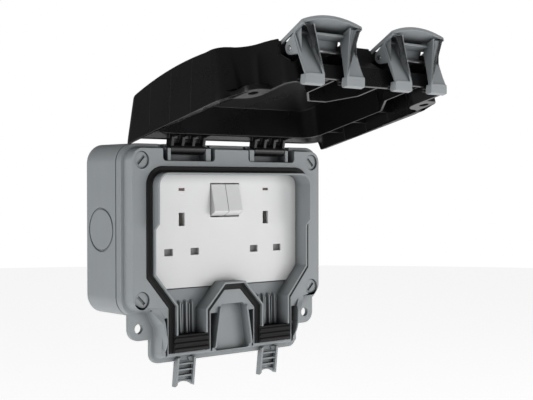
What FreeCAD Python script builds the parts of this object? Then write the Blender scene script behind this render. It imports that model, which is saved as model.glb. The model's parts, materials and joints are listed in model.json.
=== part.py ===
import FreeCAD, Part
import math
import os
import re
import Sketcher

# Outdoor weatherproof twin switched socket, lid open.
# X runs to the right, Z up, and the back face of the box lies on the plane Y = 0.
# Depths are measured forward from that back face, so a depth d lies at Y = -d.

SIZES = [
    ("box_width", 177.0, "width of box, rim and lid"),
    ("box_height", 114.0, "height of box and rim"),
    ("corner_radius", 13.0, "corner radius of box, rim and lid"),
    ("box_depth", 34.6, "front edge of the rear box"),
    ("wall", 2.5, "moulded wall of box, frame and lid"),
    ("back_wall", 3.0, "back wall of the rear box"),
    ("seam_gap", 0.8, "seam between rear box and front frame"),
    ("rim_thickness", 5.6, "thickness of the frame's outer rim"),
    ("face_height", 6.1, "how far the frame's face stands in front of the rim"),
    ("rim_step", 2.6, "step from the rim edge to the foot of the raised face"),
    ("face_draft", 2.4, "inward draft of the raised face"),
    ("top_margin", 3.0, "margin above the raised face"),
    ("skirt_step", 23.1, "step from the box side to the lower skirt"),
    ("skirt_drop", 89.5, "bottom of the lower skirt below the box centre"),
    ("notch_radius", 8.0, "concave radius between rim and skirt"),
    ("skirt_radius", 6.5, "bottom corner radius of the skirt"),
    ("seal_margin", 15.9, "margin outside the seal groove at the sides"),
    ("seal_top_margin", 15.0, "margin above the seal groove"),
    ("seal_radius", 13.0, "top corner radius of the seal groove"),
    ("shoulder_drop", 31.5, "upper end of the slanted shoulder"),
    ("shoulder_low_drop", 52.6, "lower end of the slanted shoulder"),
    ("channel_margin", 27.9, "centre of each cable channel inside the skirt's side"),
    ("channel_half", 17.2, "half width of the seal outline at a cable channel"),
    ("channel_foot", 6.5, "skirt below the cable channels"),
    ("hump_low_drop", 57.0, "lower end of the hump's slant"),
    ("hump_top_drop", 43.1, "flat top of the hump between the channels"),
    ("hump_half", 7.0, "half width of the hump's flat top"),
    ("seal_width", 4.1, "width of the seal"),
    ("seal_lift", 0.4, "how far the seal stands in front of the face"),
    ("seal_groove", 2.4, "depth of the seal groove"),
    ("seal_upstand", 1.1, "upstand of the seal against the lip"),
    ("lip_thickness", 1.4, "thickness of the lip inside the seal"),
    ("lip_low", 3.5, "height of the lower lip in front of the face"),
    ("lip_high", 7.9, "height of the upper lip in front of the face"),
    ("lip_step", 2.0, "height of the step in the lip above the box centre"),
    ("plate_front", 39.0, "front face of the socket plate"),
    ("plate_thickness", 2.4, "thickness of the socket plate"),
    ("plate_seat", 0.3, "clearance between plate and frame"),
    ("plate_wing", 7.9, "fixing wings of the plate beyond the seal's outer edge"),
    ("window_margin", 4.8, "window inside the seal's outer edge at the sides"),
    ("window_top_margin", 5.5, "top of the window below the seal's outer edge"),
    ("window_drop", 38.4, "bottom of the window below the box centre"),
    ("window_radius", 7.5, "corner radius of the window"),
    ("post_radius", 3.9, "radius of the posts that carry the plate"),
    ("plate_lap", 2.1, "how far the plate reaches behind the window's edge"),
    ("outlet_pitch", 75.4, "distance between the two outlets"),
    ("pin_drop", 16.0, "line and neutral pin line below the box centre"),
    ("earth_rise", 22.2, "earth pin above the line and neutral pins"),
    ("pin_pitch", 22.2, "distance between line and neutral pins"),
    ("flat_pin_width", 7.0, "width of a line or neutral aperture"),
    ("flat_pin_height", 4.6, "height of a line or neutral aperture"),
    ("earth_width", 4.8, "width of the earth aperture"),
    ("earth_height", 8.9, "height of the earth aperture"),
    ("screw_inset_x", 12.6, "cover screws inside the box's sides"),
    ("screw_inset_z", 10.95, "cover screws inside the box's top and bottom"),
    ("screw_head", 5.5, "radius of a cover screw head"),
    ("screw_recess", 1.2, "depth of a cover screw head below the raised face"),
    ("screw_gap", 0.25, "radial clearance round a cover screw head"),
    ("hinge_inset", 3.0, "hinge axis below the top of the box"),
    ("hinge_lift", 0.5, "hinge axis in front of the rim"),
    ("slot_inner", 15.2, "inner end of each hinge slot"),
    ("slot_outer", 58.8, "outer end of each hinge slot"),
    ("slot_drop", 8.3, "floor of the hinge slot below the hinge axis"),
    ("slot_floor", 37.0, "depth of the hinge slot's back wall"),
    ("knuckle_inner", 22.1, "inner end of a lid knuckle"),
    ("knuckle_outer", 51.0, "outer end of a lid knuckle"),
    ("knuckle_radius", 4.0, "radius of knuckles and hinge ears"),
    ("ear_gap", 0.3, "end clearance between knuckle and hinge ear"),
    ("ear_outer", 2.8, "thickness of the outer hinge ear"),
    ("ear_inner", 4.4, "thickness of the inner hinge ear"),
    ("hinge_pin", 1.5, "radius of the hinge pins"),
    ("pin_gap", 0.05, "radial running clearance on pins"),
    ("open_angle", 103.65, "how far the lid stands open"),
    ("lid_gap", 0.8, "gap between rim and lid edge, lid closed"),
    ("relief_gap", 0.4, "gap between the face and the lid's edge above the hinge"),
    ("lid_front", 74.5, "front of the lid at its lower end, lid closed"),
    ("lid_fall", 4.0, "how much shallower the lid is at its upper end"),
    ("lid_draft", 4.5, "inward draft of the lid's sides"),
    ("lid_top_drop", 1.0, "virtual top of the sloping wall below the box's top at the lid's edge"),
    ("lid_top_angle", 22.3, "slope of the lid's top wall"),
    ("crest_bend", 3.0, "reach of the bend between front and top wall of the lid"),
    ("lid_overhang", 3.0, "lid's lower end beyond the skirt at each side"),
    ("lid_skirt_radius", 9.0, "corner radius at the lid's lower end"),
    ("lid_overlap", 2.0, "lid's lower end below the skirt"),
    ("lid_chin_rise", 9.5, "chin above the lid's lower end"),
    ("rib_inset", 0.9, "sealing wall inside the seal's outer edge"),
    ("rib_wall", 1.7, "thickness of the lid's sealing wall"),
    ("rib_gap", 0.3, "gap between sealing wall and seal"),
    ("lug_inset", 13.9, "padlock holes inside the box's sides"),
    ("lug_fall", 8.2, "padlock holes below the box's lower edge"),
    ("lug_hole", 3.15, "radius of a padlock hole"),
    ("lug_radius", 8.0, "radius of a padlock lug"),
    ("lug_thickness", 3.2, "thickness of a padlock lug and of the skirt's edge"),
    ("latch_pivot_depth", 63.0, "latch pivot in front of the back face, lid closed"),
    ("latch_pivot_rise", 4.5, "latch pivot above the lid's lower end"),
    ("pocket_rise", 9.6, "top of the lid's latch pocket above the pivot"),
    ("pocket_wall", 1.8, "wall round the lid's latch pocket"),
    ("latch_half", 23.8, "half width of a latch"),
    ("latch_wall", 1.8, "thickness of the latch's walls"),
    ("latch_pin", 1.4, "radius of the latch pins"),
    ("latch_ear", 4.4, "radius of the latch ears"),
    ("latch_gap", 0.35, "side clearance of latch and lid"),
    ("boss_outer", 19.8, "outer side of the lid's latch bosses from the latch centre"),
    ("boss_width", 4.5, "width of a latch boss on the lid"),
    ("guide_half", 7.9, "half width of a cable guide"),
    ("guide_length", 19.9, "length of a cable guide"),
    ("guide_rise", 2.2, "top of a cable guide above the skirt's lower edge"),
    ("guide_seat", 3.5, "notch for a guide's tongue in the skirt's lower edge"),
    ("guide_back", 39.9, "back of a cable guide at its top"),
    ("guide_depth", 4.4, "depth of a cable guide"),
    ("guide_lean", 2.4, "how far a guide leans to the wall over its length"),
    ("guide_wall", 1.8, "thickness of a cable guide's side walls"),
    ("guide_mouth", 11.9, "radius of the hollow at a guide's lower end"),
    ("gland_height", 11.4, "height of a gland"),
    ("gland_gap", 0.3, "clearance between gland and channel"),
    ("floor_depth", 38.2, "floor of the cable channels"),
    ("base_back", 12.0, "back of the socket mechanism housing"),
    ("base_half", 64.0, "half width of the mechanism housing"),
    ("rocker_width", 12.6, "width of one rocker"),
    ("rocker_height", 23.0, "height of a rocker"),
    ("rocker_rise", 19.0, "rocker centre above the box centre"),
    ("rocker_gap", 0.3, "clearance round the rockers"),
    ("rocker_dip", 2.1, "room behind the plate for the pressed end of a rocker"),
    ("rocker_axis", 33.5, "rocker axis in front of the back face"),
    ("rocker_pin", 1.25, "radius of the rocker pin"),
    ("bar_width", 4.0, "width of the brass bars"),
    ("bar_thickness", 1.2, "thickness of brass bars and clips"),
    ("contact_floor", 14.0, "seat of the contacts in the mechanism housing"),
    ("neutral_drop", 28.5, "neutral bar below the box centre"),
    ("earth_bar_rise", 16.2, "earth bar above the box centre"),
    ("line_bar_rise", 27.0, "line bar above the box centre"),
    ("fixing_pitch_x", 140.0, "spacing of the wall fixing holes across"),
    ("fixing_pitch_z", 60.0, "spacing of the wall fixing holes up and down"),
    ("fixing_hole", 2.4, "radius of the wall fixing holes"),
    ("knockout_radius", 14.7, "radius of the cable knockouts"),
]

DERIVED = [
    ("skirt_half", "box_width / 2 - skirt_step", "half width of the lower skirt"),
    ("seal_half", "box_width / 2 - seal_margin", "half width of the seal groove"),
    ("seal_top", "box_height / 2 - seal_top_margin", "top of the seal groove"),
    ("face_top", "box_height / 2 - top_margin", "top edge of the raised face"),
    ("window_half", "seal_half - window_margin", "half width of the window"),
    ("window_top", "seal_top - window_top_margin", "top of the window"),
    ("plate_half", "seal_half + plate_wing", "half width of the socket plate"),
    ("channel_centre", "skirt_half - channel_margin", "centre of each cable channel"),
    ("channel_drop", "skirt_drop - channel_foot", "bottom of the cable channels"),
    ("gland_top", "channel_drop - gland_height", "top of the glands below the box centre"),
    ("guide_top", "skirt_drop - guide_rise", "top of the cable guides below the box centre"),
    ("screw_pitch_x", "box_width - 2 * screw_inset_x", "spacing of the cover screws across"),
    ("screw_pitch_z", "box_height - 2 * screw_inset_z", "spacing of the cover screws up and down"),
    ("hinge_height", "box_height / 2 - hinge_inset", "hinge axis above the box centre"),
    ("lug_spacing", "box_width - 2 * lug_inset", "distance between the padlock holes"),
    ("lug_drop", "box_height / 2 + lug_fall", "padlock holes below the box centre"),
    ("lid_skirt_half", "skirt_half + lid_overhang", "half width of the lid's lower end"),
    ("lid_drop", "skirt_drop + lid_overlap", "lower end of the lid below the box centre"),
    ("lid_chin", "lid_drop - lid_chin_rise", "lower end of the lid's front face"),
    ("latch_pivot_drop", "lid_drop - latch_pivot_rise", "latch pivot below the box centre"),
    ("frame_back", "box_depth + seam_gap", "back face of the front frame"),
    ("rim_front", "frame_back + rim_thickness", "front of the outer rim"),
    ("face_front", "rim_front + face_height", "front of the raised face"),
    ("hinge_depth", "rim_front + hinge_lift", "hinge axis in front of the back face"),
    ("lid_edge", "rim_front + lid_gap", "edge of the lid skirt, lid closed"),
    ("lid_relief", "face_front + relief_gap", "edge of the lid above the hinge, lid closed"),
    ("lid_slope", "tan(lid_top_angle)", "fall of the sloping wall for each millimetre forward"),
    ("lid_lean", "1 / cos(lid_top_angle)", "height that a wall takes up on the slope"),
    ("lid_crest", "box_height / 2 - lid_top_drop - (lid_front - lid_fall - lid_edge) * lid_slope",
     "where the front and the sloping wall would meet"),
    ("lip_width", "seal_width + lip_thickness", "seal and lip together"),
    ("shoulder_turn", "tan(atan((seal_half - channel_centre - channel_half)"
     " / (shoulder_low_drop - shoulder_drop)) / 2)", "offset factor at the shoulder"),
    ("hump_turn", "tan(atan((channel_centre - channel_half - hump_half)"
     " / (hump_low_drop - hump_top_drop)) / 2)", "offset factor at the hump's foot"),
    ("crown_turn", "(1 - hump_turn) / (1 + hump_turn)", "offset factor at the hump's top"),
    ("seal_front", "face_front + seal_lift", "front of the seal"),
    ("rib_edge", "seal_front + rib_gap", "edge of the lid's sealing wall, lid closed"),
]

doc = FreeCAD.newDocument("WeatherproofSocket")
sheet = doc.addObject("Spreadsheet::Sheet", "Sizes")
NAMES = set()
PIECES = []


def fill_sheet():
    """Writes every driving and derived size to the sheet under its own name."""
    rows = [(name, str(size), note) for name, size, note in SIZES]
    rows += [(name, "=" + formula, note) for name, formula, note in DERIVED]
    for row, (name, content, note) in enumerate(rows, start=1):
        sheet.set(f"A{row}", note)
        sheet.set(f"B{row}", content)
        sheet.setAlias(f"B{row}", name)
        NAMES.add(name)
    doc.recompute()


def link(text):
    """Turns a formula in size names into one that reads the sheet."""
    def cell(word):
        return "Sizes." + word.group() if word.group() in NAMES else word.group()
    return re.sub(r"[a-z][a-z_]*", cell, str(text))


def value(text):
    """The number that a formula in size names stands for."""
    return float(sheet.evalExpression(str(text)))


# Local axes of a sketch: front sees X and Z, side sees depth and Z, plan sees X and depth.
TURNS = {
    "front": FreeCAD.Rotation(FreeCAD.Vector(1, 0, 0), FreeCAD.Vector(0, 0, 1),
                              FreeCAD.Vector(0, -1, 0), "XYZ"),
    "side": FreeCAD.Rotation(FreeCAD.Vector(0, -1, 0), FreeCAD.Vector(0, 0, 1),
                             FreeCAD.Vector(-1, 0, 0), "XYZ"),
    "plan": FreeCAD.Rotation(FreeCAD.Vector(1, 0, 0), FreeCAD.Vector(0, -1, 0),
                             FreeCAD.Vector(0, 0, -1), "XYZ"),
}
LEVELS = {"front": ("y", "-1"), "side": ("x", "1"), "plan": ("z", "1")}
OUTWARD = {"front": (0, -1, 0), "side": (1, 0, 0), "plan": (0, 0, 1)}


def arc_centre(start, end, radius, side):
    """Centre of the shorter arc from start to end, on the left (1) or right (-1)."""
    middle = (start + end) / 2
    chord = end - start
    half = chord.Length / 2
    normal = FreeCAD.Vector(-chord.y, chord.x, 0).normalize()
    return middle + normal * side * math.sqrt(max(radius ** 2 - half ** 2, 0))


def fill_sketch(sketch, points):
    """Closed outline through points; (u, v, radius, side) starts an arc to the next point."""
    places = [FreeCAD.Vector(value(point[0]), value(point[1]), 0) for point in points]
    count = len(points)
    ends = []
    for index, point in enumerate(points):
        start = places[index]
        end = places[(index + 1) % count]
        if len(point) == 2:
            sketch.addGeometry(Part.LineSegment(start, end), False)
            ends.append((1, 2))
            continue
        side = point[3]
        centre = arc_centre(start, end, value(point[2]), side)
        first, last = (start, end) if side > 0 else (end, start)
        low = math.atan2(first.y - centre.y, first.x - centre.x)
        high = math.atan2(last.y - centre.y, last.x - centre.x)
        circle = Part.Circle(centre, FreeCAD.Vector(0, 0, 1), (first - centre).Length)
        sketch.addGeometry(Part.ArcOfCircle(circle, low, high), False)
        ends.append((1, 2) if side > 0 else (2, 1))
    for index, point in enumerate(points):
        before = (index - 1) % count
        sketch.addConstraint(Sketcher.Constraint(
            "Coincident", before, ends[before][1], index, ends[index][0]))
        for kind, formula, place in (("DistanceX", point[0], places[index].x),
                                     ("DistanceY", point[1], places[index].y)):
            number = sketch.addConstraint(Sketcher.Constraint(
                kind, -1, 1, index, ends[index][0], place))
            sketch.setExpression(f"Constraints[{number}]", link(formula))
        if len(point) == 4:
            number = sketch.addConstraint(Sketcher.Constraint(
                "Radius", index, value(point[2])))
            sketch.setExpression(f"Constraints[{number}]", link(point[2]))


def draw(name, view, level, points):
    """A closed sketch seen from the front, the side or above, at a depth, X or Z."""
    sketch = doc.addObject("Sketcher::SketchObject", name)
    axis, sign = LEVELS[view]
    base = {"x": 0.0, "y": 0.0, "z": 0.0}
    base[axis] = float(sign) * value(level)
    sketch.Placement = FreeCAD.Placement(FreeCAD.Vector(base["x"], base["y"], base["z"]),
                                         TURNS[view])
    sketch.setExpression(f"Placement.Base.{axis}", f"{sign} * ({link(level)})")
    fill_sketch(sketch, points)
    return sketch


def extrude(name, view, level, length, points):
    """An outline drawn at a level and extruded outward: forward, right or up."""
    sketch = draw(name + "_outline", view, level, points)
    solid = doc.addObject("Part::Extrusion", name)
    solid.Base = sketch
    solid.DirMode = "Custom"
    solid.Dir = FreeCAD.Vector(*OUTWARD[view])
    solid.Solid = True
    solid.setExpression("LengthFwd", link(length))
    return solid


def loft(name, sketches):
    solid = doc.addObject("Part::Loft", name)
    solid.Sections = sketches
    solid.Solid = True
    solid.Ruled = True
    return solid


def block(name, x_low, x_high, d_low, d_high, z_low, z_high):
    """A box between two X values, two depths and two heights."""
    solid = doc.addObject("Part::Box", name)
    solid.setExpression("Length", link(f"({x_high}) - ({x_low})"))
    solid.setExpression("Width", link(f"({d_high}) - ({d_low})"))
    solid.setExpression("Height", link(f"({z_high}) - ({z_low})"))
    solid.setExpression("Placement.Base.x", link(x_low))
    solid.setExpression("Placement.Base.y", link(f"-({d_high})"))
    solid.setExpression("Placement.Base.z", link(z_low))
    return solid


def rod(name, along, radius, length, x, d, z):
    """A cylinder that starts at a point and runs right, forward or up."""
    solid = doc.addObject("Part::Cylinder", name)
    solid.setExpression("Radius", link(radius))
    solid.setExpression("Height", link(length))
    ways = {"right": FreeCAD.Vector(1, 0, 0), "forward": FreeCAD.Vector(0, -1, 0),
            "up": FreeCAD.Vector(0, 0, 1)}
    solid.Placement = FreeCAD.Placement(
        FreeCAD.Vector(0, 0, 0), FreeCAD.Rotation(FreeCAD.Vector(0, 0, 1), ways[along]))
    solid.setExpression("Placement.Base.x", link(x))
    solid.setExpression("Placement.Base.y", link(f"-({d})"))
    solid.setExpression("Placement.Base.z", link(z))
    return solid


def fuse(name, shapes):
    solid = doc.addObject("Part::MultiFuse", name)
    solid.Shapes = shapes
    return solid


def cut(name, base, tools):
    solid = doc.addObject("Part::Cut", name)
    solid.Base = base
    solid.Tool = tools[0] if len(tools) == 1 else fuse(name + "_tools", tools)
    return solid


def common(name, shapes):
    solid = doc.addObject("Part::MultiCommon", name)
    solid.Shapes = shapes
    return solid


def group(name, shapes):
    """Separate solids that share one node."""
    solid = doc.addObject("Part::Compound", name)
    solid.Links = shapes
    return solid


def keep(node, shape):
    """Gives a finished sub-part its name and adds it to the pieces that are written."""
    shape.Label = node
    PIECES.append(shape)
    return shape


def open_lid(shape):
    """Turns a piece drawn with the lid closed about the hinge to the open position."""
    shape.setExpression("Placement", link(
        "placement(vector(0; 0; 0); rotation(vector(1; 0; 0); -open_angle);"
        " vector(0; -hinge_depth; hinge_height))"))
    return shape


def rounded(x_low, x_high, v_low, v_high, radius):
    """A rectangle with round corners."""
    return [(f"{x_low} + {radius}", v_low), (f"{x_high} - {radius}", v_low, radius, 1),
            (x_high, f"{v_low} + {radius}"), (x_high, f"{v_high} - {radius}", radius, 1),
            (f"{x_high} - {radius}", v_high), (f"{x_low} + {radius}", v_high, radius, 1),
            (x_low, f"{v_high} - {radius}"), (x_low, f"{v_low} + {radius}", radius, 1)]


def mirrored(right):
    """Closes the right half of an outline with its mirror image."""
    left = []
    for index in range(len(right) - 1, -1, -1):
        point = right[index]
        before = right[index - 1] if index else right[-1]
        bend = before[2:] if index else ()
        left.append((f"-({point[0]})", point[1]) + tuple(bend))
    return right + left


def recess_outline(inset, foot="-channel_drop"):
    """The seal's outer outline, moved inward: window, shoulders, channels and hump."""
    outer = f"channel_centre + channel_half - ({inset})"
    inner = f"channel_centre - channel_half + ({inset})"
    return mirrored([
        ("seal_half - seal_radius", f"seal_top - ({inset})", f"seal_radius - ({inset})", -1),
        (f"seal_half - ({inset})", "seal_top - seal_radius"),
        (f"seal_half - ({inset})", f"-shoulder_drop + ({inset}) * shoulder_turn"),
        (outer, f"-shoulder_low_drop + ({inset}) * shoulder_turn"),
        (outer, foot),
        (inner, foot),
        (inner, f"-hump_low_drop + ({inset}) * hump_turn"),
        (f"hump_half + ({inset}) * crown_turn", f"-hump_top_drop + ({inset})"),
    ])


def body_outline(inset, top, low_half, low_drop, low_radius="skirt_radius"):
    """Rim, face or lid outline: a rounded rectangle that narrows to the lower skirt."""
    side = f"box_width / 2 - ({inset})"
    return mirrored([
        ("box_width / 2 - corner_radius", top, f"corner_radius - ({inset})", -1),
        (side, f"{top} - corner_radius + ({inset})"),
        (side, "-box_height / 2 + corner_radius", f"corner_radius - ({inset})", -1),
        ("box_width / 2 - corner_radius", f"-box_height / 2 + ({inset})"),
        (f"{low_half} + notch_radius", f"-box_height / 2 + ({inset})",
         f"notch_radius + ({inset})", 1),
        (f"{low_half} - ({inset})", "-box_height / 2 - notch_radius"),
        (f"{low_half} - ({inset})", f"-({low_drop}) + {low_radius}",
         f"{low_radius} - ({inset})", -1),
        (f"{low_half} - {low_radius}", f"-({low_drop}) + ({inset})"),
    ])


def box_outline(inset):
    """Outline of the rear box, moved inward."""
    half_width = f"box_width / 2 - ({inset})"
    half_height = f"box_height / 2 - ({inset})"
    return rounded(f"-({half_width})", half_width, f"-({half_height})", half_height,
                   f"(corner_radius - ({inset}))")


SIDES = (("left", -1), ("right", 1))
CORNERS = (("top_left", -1, 1), ("top_right", 1, 1),
           ("bottom_left", -1, -1), ("bottom_right", 1, -1))


def build_rear_box():
    """Surface box with cover screw bosses, wall fixing holes and cable knockouts."""
    shell = cut("box_shell", extrude("box_solid", "front", "0", "box_depth", box_outline("0")),
                [extrude("box_hollow", "front", "back_wall", "box_depth", box_outline("wall"))])
    bosses = []
    cuts = []
    for name, x_sign, z_sign in CORNERS:
        x = f"{x_sign} * screw_pitch_x / 2"
        z = f"{z_sign} * screw_pitch_z / 2"
        bosses.append(rod("box_boss_" + name, "forward", "screw_head", "box_depth - 1.5",
                          x, "0.5", z))
        cuts.append(rod("box_bore_" + name, "forward", "3.4", "box_depth", x, "9", z))
        cuts.append(rod("box_fixing_" + name, "forward", "fixing_hole", "back_wall + 2",
                        f"{x_sign} * fixing_pitch_x / 2", "-1", f"{z_sign} * fixing_pitch_z / 2"))
    ring = []
    for name, sign in SIDES:
        for label, radius, way in (("rim", "knockout_radius", 1),
                                   ("core", "knockout_radius - 1.2", -1)):
            ring.append(rod(f"knockout_{label}_{name}", "right", radius, "1.2",
                            f"{sign} * (box_width / 2 - 0.4) - 0.6", "box_depth / 2", "0"))
        for label, radius in (("rim", "10.5"), ("core", "9.3")):
            ring.append(rod(f"low_knockout_{label}_{name}", "up", radius, "1.2",
                            f"{sign} * outlet_pitch / 2", "box_depth / 2",
                            "-box_height / 2 - 0.8"))
    grooves = [cut(f"knockout_groove_{number}", ring[2 * number], [ring[2 * number + 1]])
               for number in range(len(ring) // 2)]
    solid = fuse("box_with_bosses", [shell] + bosses)
    keep("rear_box", cut("rear_box", solid, cuts + grooves))


def build_box_seal():
    """Flat gasket in the seam between rear box and front frame."""
    outer = extrude("box_seal_outer", "front", "box_depth", "seam_gap", box_outline("0.4"))
    inner = extrude("box_seal_inner", "front", "box_depth - 1", "seam_gap + 2",
                    box_outline("wall - 0.2"))
    keep("box_seal", cut("box_seal", outer, [inner]))


def build_front_frame():
    """Front moulding: rim, raised face, lip, window, cable channels, pockets and hinge ears."""
    rim = extrude("frame_rim", "front", "frame_back", "rim_thickness",
                  body_outline("0", "box_height / 2", "skirt_half", "skirt_drop"))
    face = loft("frame_face", [
        draw("face_foot", "front", "rim_front - 0.5",
             body_outline("rim_step", "face_top + 0.6", "skirt_half", "skirt_drop")),
        draw("face_edge", "front", "face_front",
             body_outline("rim_step + face_draft", "face_top", "skirt_half", "skirt_drop"))])
    lip_outline = recess_outline("seal_width")
    high_lip = extrude("frame_lip_high", "front", "face_front - 3", "lip_high + 3", lip_outline)
    above = extrude("lip_above", "side", "-seal_half", "2 * seal_half", [
        ("face_front - 4", "-skirt_drop"), ("face_front + lip_low", "-skirt_drop"),
        ("face_front + lip_low", "lip_step - 2"), ("face_front + lip_high", "lip_step + 2"),
        ("face_front + lip_high", "seal_top"), ("face_front - 4", "seal_top")])
    lip = common("frame_lip", [high_lip, above])
    lugs = []
    guards = []
    for name, sign in SIDES:
        lugs.append(extrude("frame_lug_" + name, "front", "rim_front - lug_thickness",
                            "lug_thickness", lug_outline(sign, "skirt_half - 3")))
        guards.append(build_guard(name, sign))
    solid = fuse("frame_solid", [rim, face, lip] + lugs + guards)
    recess = extrude("recess_cut", "front", "plate_front + plate_seat", "40",
                     recess_outline("lip_width"))
    groove = cut("groove_ring", extrude("groove_outer", "front", "face_front - seal_groove", "20",
                                        recess_outline("0")),
                 [extrude("groove_inner", "front", "face_front - seal_groove - 1", "22",
                          recess_outline("seal_width"))])
    moulded = cut("frame_moulded", solid, [recess, groove, build_floor(), build_back_hollow()]
                  + frame_holes() + pocket_cuts())
    ribs = [block(f"floor_rib_{name}_{number}", f"{sign} * channel_centre + {6 * number} - 0.6",
                  f"{sign} * channel_centre + {6 * number} + 0.6", "floor_depth - 0.5",
                  "floor_depth + 1.2", "-gland_top + 0.3", "-window_drop - 13")
            for name, sign in SIDES for number in (-1, 0, 1)]
    keep("front_frame", fuse("front_frame", [moulded] + ribs))


def lug_outline(sign, inside):
    """Rounded padlock lug that grows down from the rim beside the skirt."""
    outside = f"{sign} * (lug_spacing / 2 + lug_radius)"
    bottom = "-lug_drop - lug_radius"
    top = "-box_height / 2 + 4"
    return [(outside, top), (outside, "-lug_drop", "lug_radius", -sign),
            (f"{sign} * lug_spacing / 2", bottom), (f"{sign} * ({inside})", bottom),
            (f"{sign} * ({inside})", top)]


def skirt_points(sign, steps):
    """Points given as steps outside the skirt's side and heights above its lower edge."""
    return [(f"{sign} * (skirt_half + {outward})", f"-skirt_drop + {height}")
            for outward, height in steps]


def build_guard(name, sign):
    """Raised wall that guards the latch pocket on the outer side of a channel."""
    foot = skirt_points(sign, ((4.5, 36.6), (-1.9, 24.7), (-3.6, 16.0), (-4.7, 8.3),
                               (-7.6, 4.0), (-8.8, 4.0), (-7.8, 27.5), (-1.4, 38.5)))
    ridge = skirt_points(sign, ((3.2, 35.9), (-3.9, 27.3), (-5.6, 19.6), (-7.1, 11.8),
                                (-8.3, 7.0), (-9.2, 7.0), (-8.2, 27.5), (-2.0, 37.5)))
    wall = loft("guard_wall_" + name, [
        draw("guard_foot_" + name, "front", "rim_front - 0.5", foot),
        draw("guard_ridge_" + name, "front", "face_front + 4", ridge)])
    crest = extrude("guard_crest_" + name, "side", "-skirt_half - 10", "2 * skirt_half + 20", [
        ("rim_front - 1", "-skirt_drop + 39"), ("rim_front - 1", "-skirt_drop + 3.5"),
        ("rim_front + 1", "-skirt_drop + 3.5"), ("face_front - 1.1", "-skirt_drop + 7", "16", 1),
        ("face_front + 3.8", "-skirt_drop + 19.6"), ("face_front + 3.3", "-skirt_drop + 27.3"),
        ("face_front + 1.9", "-skirt_drop + 31.1"), ("face_front - 0.2", "-skirt_drop + 37")])
    return common("guard_" + name, [wall, crest])


def build_floor():
    """Space above the sloping floor below the window and in the cable channels."""
    space = extrude("floor_space", "side", "-seal_half", "2 * seal_half", [
        ("plate_front - plate_thickness", "-window_drop"), ("face_front + 30", "-window_drop"),
        ("face_front + 30", "-channel_drop"), ("floor_depth", "-channel_drop"),
        ("floor_depth", "-window_drop - 15"), ("plate_front - 1.5", "-window_drop - 0.01")])
    return common("floor_cut", [space, extrude("floor_limit", "front", "box_depth", "60",
                                               recess_outline("lip_width"))])


def build_back_hollow():
    """Hollow behind the face, open to the box, with walls round window and rim."""
    hollow = extrude("back_hollow", "front", "box_depth - 1", "face_front - wall - box_depth + 1",
                     box_outline("wall + rim_step + face_draft"))
    bosses = [rod("frame_boss_" + name, "forward", "screw_head + 2", "30",
                  f"{x_sign} * screw_pitch_x / 2", "box_depth - 2", f"{z_sign} * screw_pitch_z / 2")
              for name, x_sign, z_sign in CORNERS]
    posts = [rod("module_post_" + name, "forward", "post_radius", "30", f"{x_sign} * (plate_half - 4.5)",
                 "plate_front + plate_seat", f"{z_sign} * 20") for name, x_sign, z_sign in CORNERS]
    tub = extrude("tub_wall", "front", "plate_front + plate_seat", "30",
                  recess_outline("lip_width - wall - 3", "-channel_drop"))
    low = block("channel_back", "-box_width", "box_width", "0", "90", "-skirt_drop",
                "-window_drop - plate_lap - 0.5")
    slots = [block("slot_back_" + name, f"{sign} * (slot_inner + slot_outer) / 2 - 24.3",
                   f"{sign} * (slot_inner + slot_outer) / 2 + 24.3", "0", "90",
                   "hinge_height - slot_drop - wall", "hinge_height + 30")
             for name, sign in SIDES]
    return cut("frame_hollow", hollow, bosses + posts + [tub, low] + slots)


def frame_holes():
    """Window, cover screw seats, hinge slots with their pin bores, and lug holes."""
    cuts = [extrude("window_cut", "front", "0", "60",
                    rounded("-window_half", "window_half", "-window_drop", "window_top",
                            "window_radius"))]
    cuts[0] = common("window_space", [cuts[0], extrude(
        "window_limit", "front", "0", "plate_front + plate_seat + 0.01",
        rounded("-seal_half", "seal_half", "-box_height / 2", "box_height / 2", "1"))])
    cuts.append(extrude("plate_bed", "front", "0", "plate_front + plate_seat", rounded(
        "-plate_half - 0.3", "plate_half + 0.3", "-window_drop - plate_lap - 0.3",
        "window_top + plate_lap + 0.3", "3")))
    for name, x_sign, z_sign in CORNERS:
        x = f"{x_sign} * screw_pitch_x / 2"
        z = f"{z_sign} * screw_pitch_z / 2"
        cuts.append(rod("screw_seat_" + name, "forward", "screw_head + screw_gap", "20",
                        x, "face_front - 3.4", z))
        cuts.append(rod("screw_bore_" + name, "forward", "3.1", "face_front", x, "0", z))
        cuts.append(rod("post_bore_" + name, "forward", "1.2", "5",
                        f"{x_sign} * (plate_half - 4.5)", "plate_front", f"{z_sign} * 20"))
    for name, sign in SIDES:
        cuts.append(hinge_slot(name, sign))
        cuts.append(rod("lug_hole_" + name, "forward", "lug_hole", "60",
                        f"{sign} * lug_spacing / 2", "0", "-lug_drop"))
        cuts.append(extrude("guide_notch_" + name, "front", "0", "80", rounded(
            f"{sign} * channel_centre - guide_half + 2", f"{sign} * channel_centre + guide_half - 2",
            "-skirt_drop - 5", "-skirt_drop + guide_seat", "0.5")))
        low, high = ("skirt_half - 8.6", "box_width") if sign > 0 else ("-box_width",
                                                                      "-skirt_half + 8.6")
        cuts.append(block("flange_back_" + name, low, high, "0", "rim_front - lug_thickness",
                          "-skirt_drop - 1", "-box_height / 2 - 0.5"))
        for side in (-1, 1):
            cuts.append(block(f"catch_slot_{name}_{side + 1}",
                              f"{sign} * channel_centre + {side} * 11.3 - 2.1",
                              f"{sign} * channel_centre + {side} * 11.3 + 2.1",
                              "frame_back + 1", "rim_front - 0.6", "-skirt_drop - 1",
                              "-skirt_drop + 4.5"))
    return cuts


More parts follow.
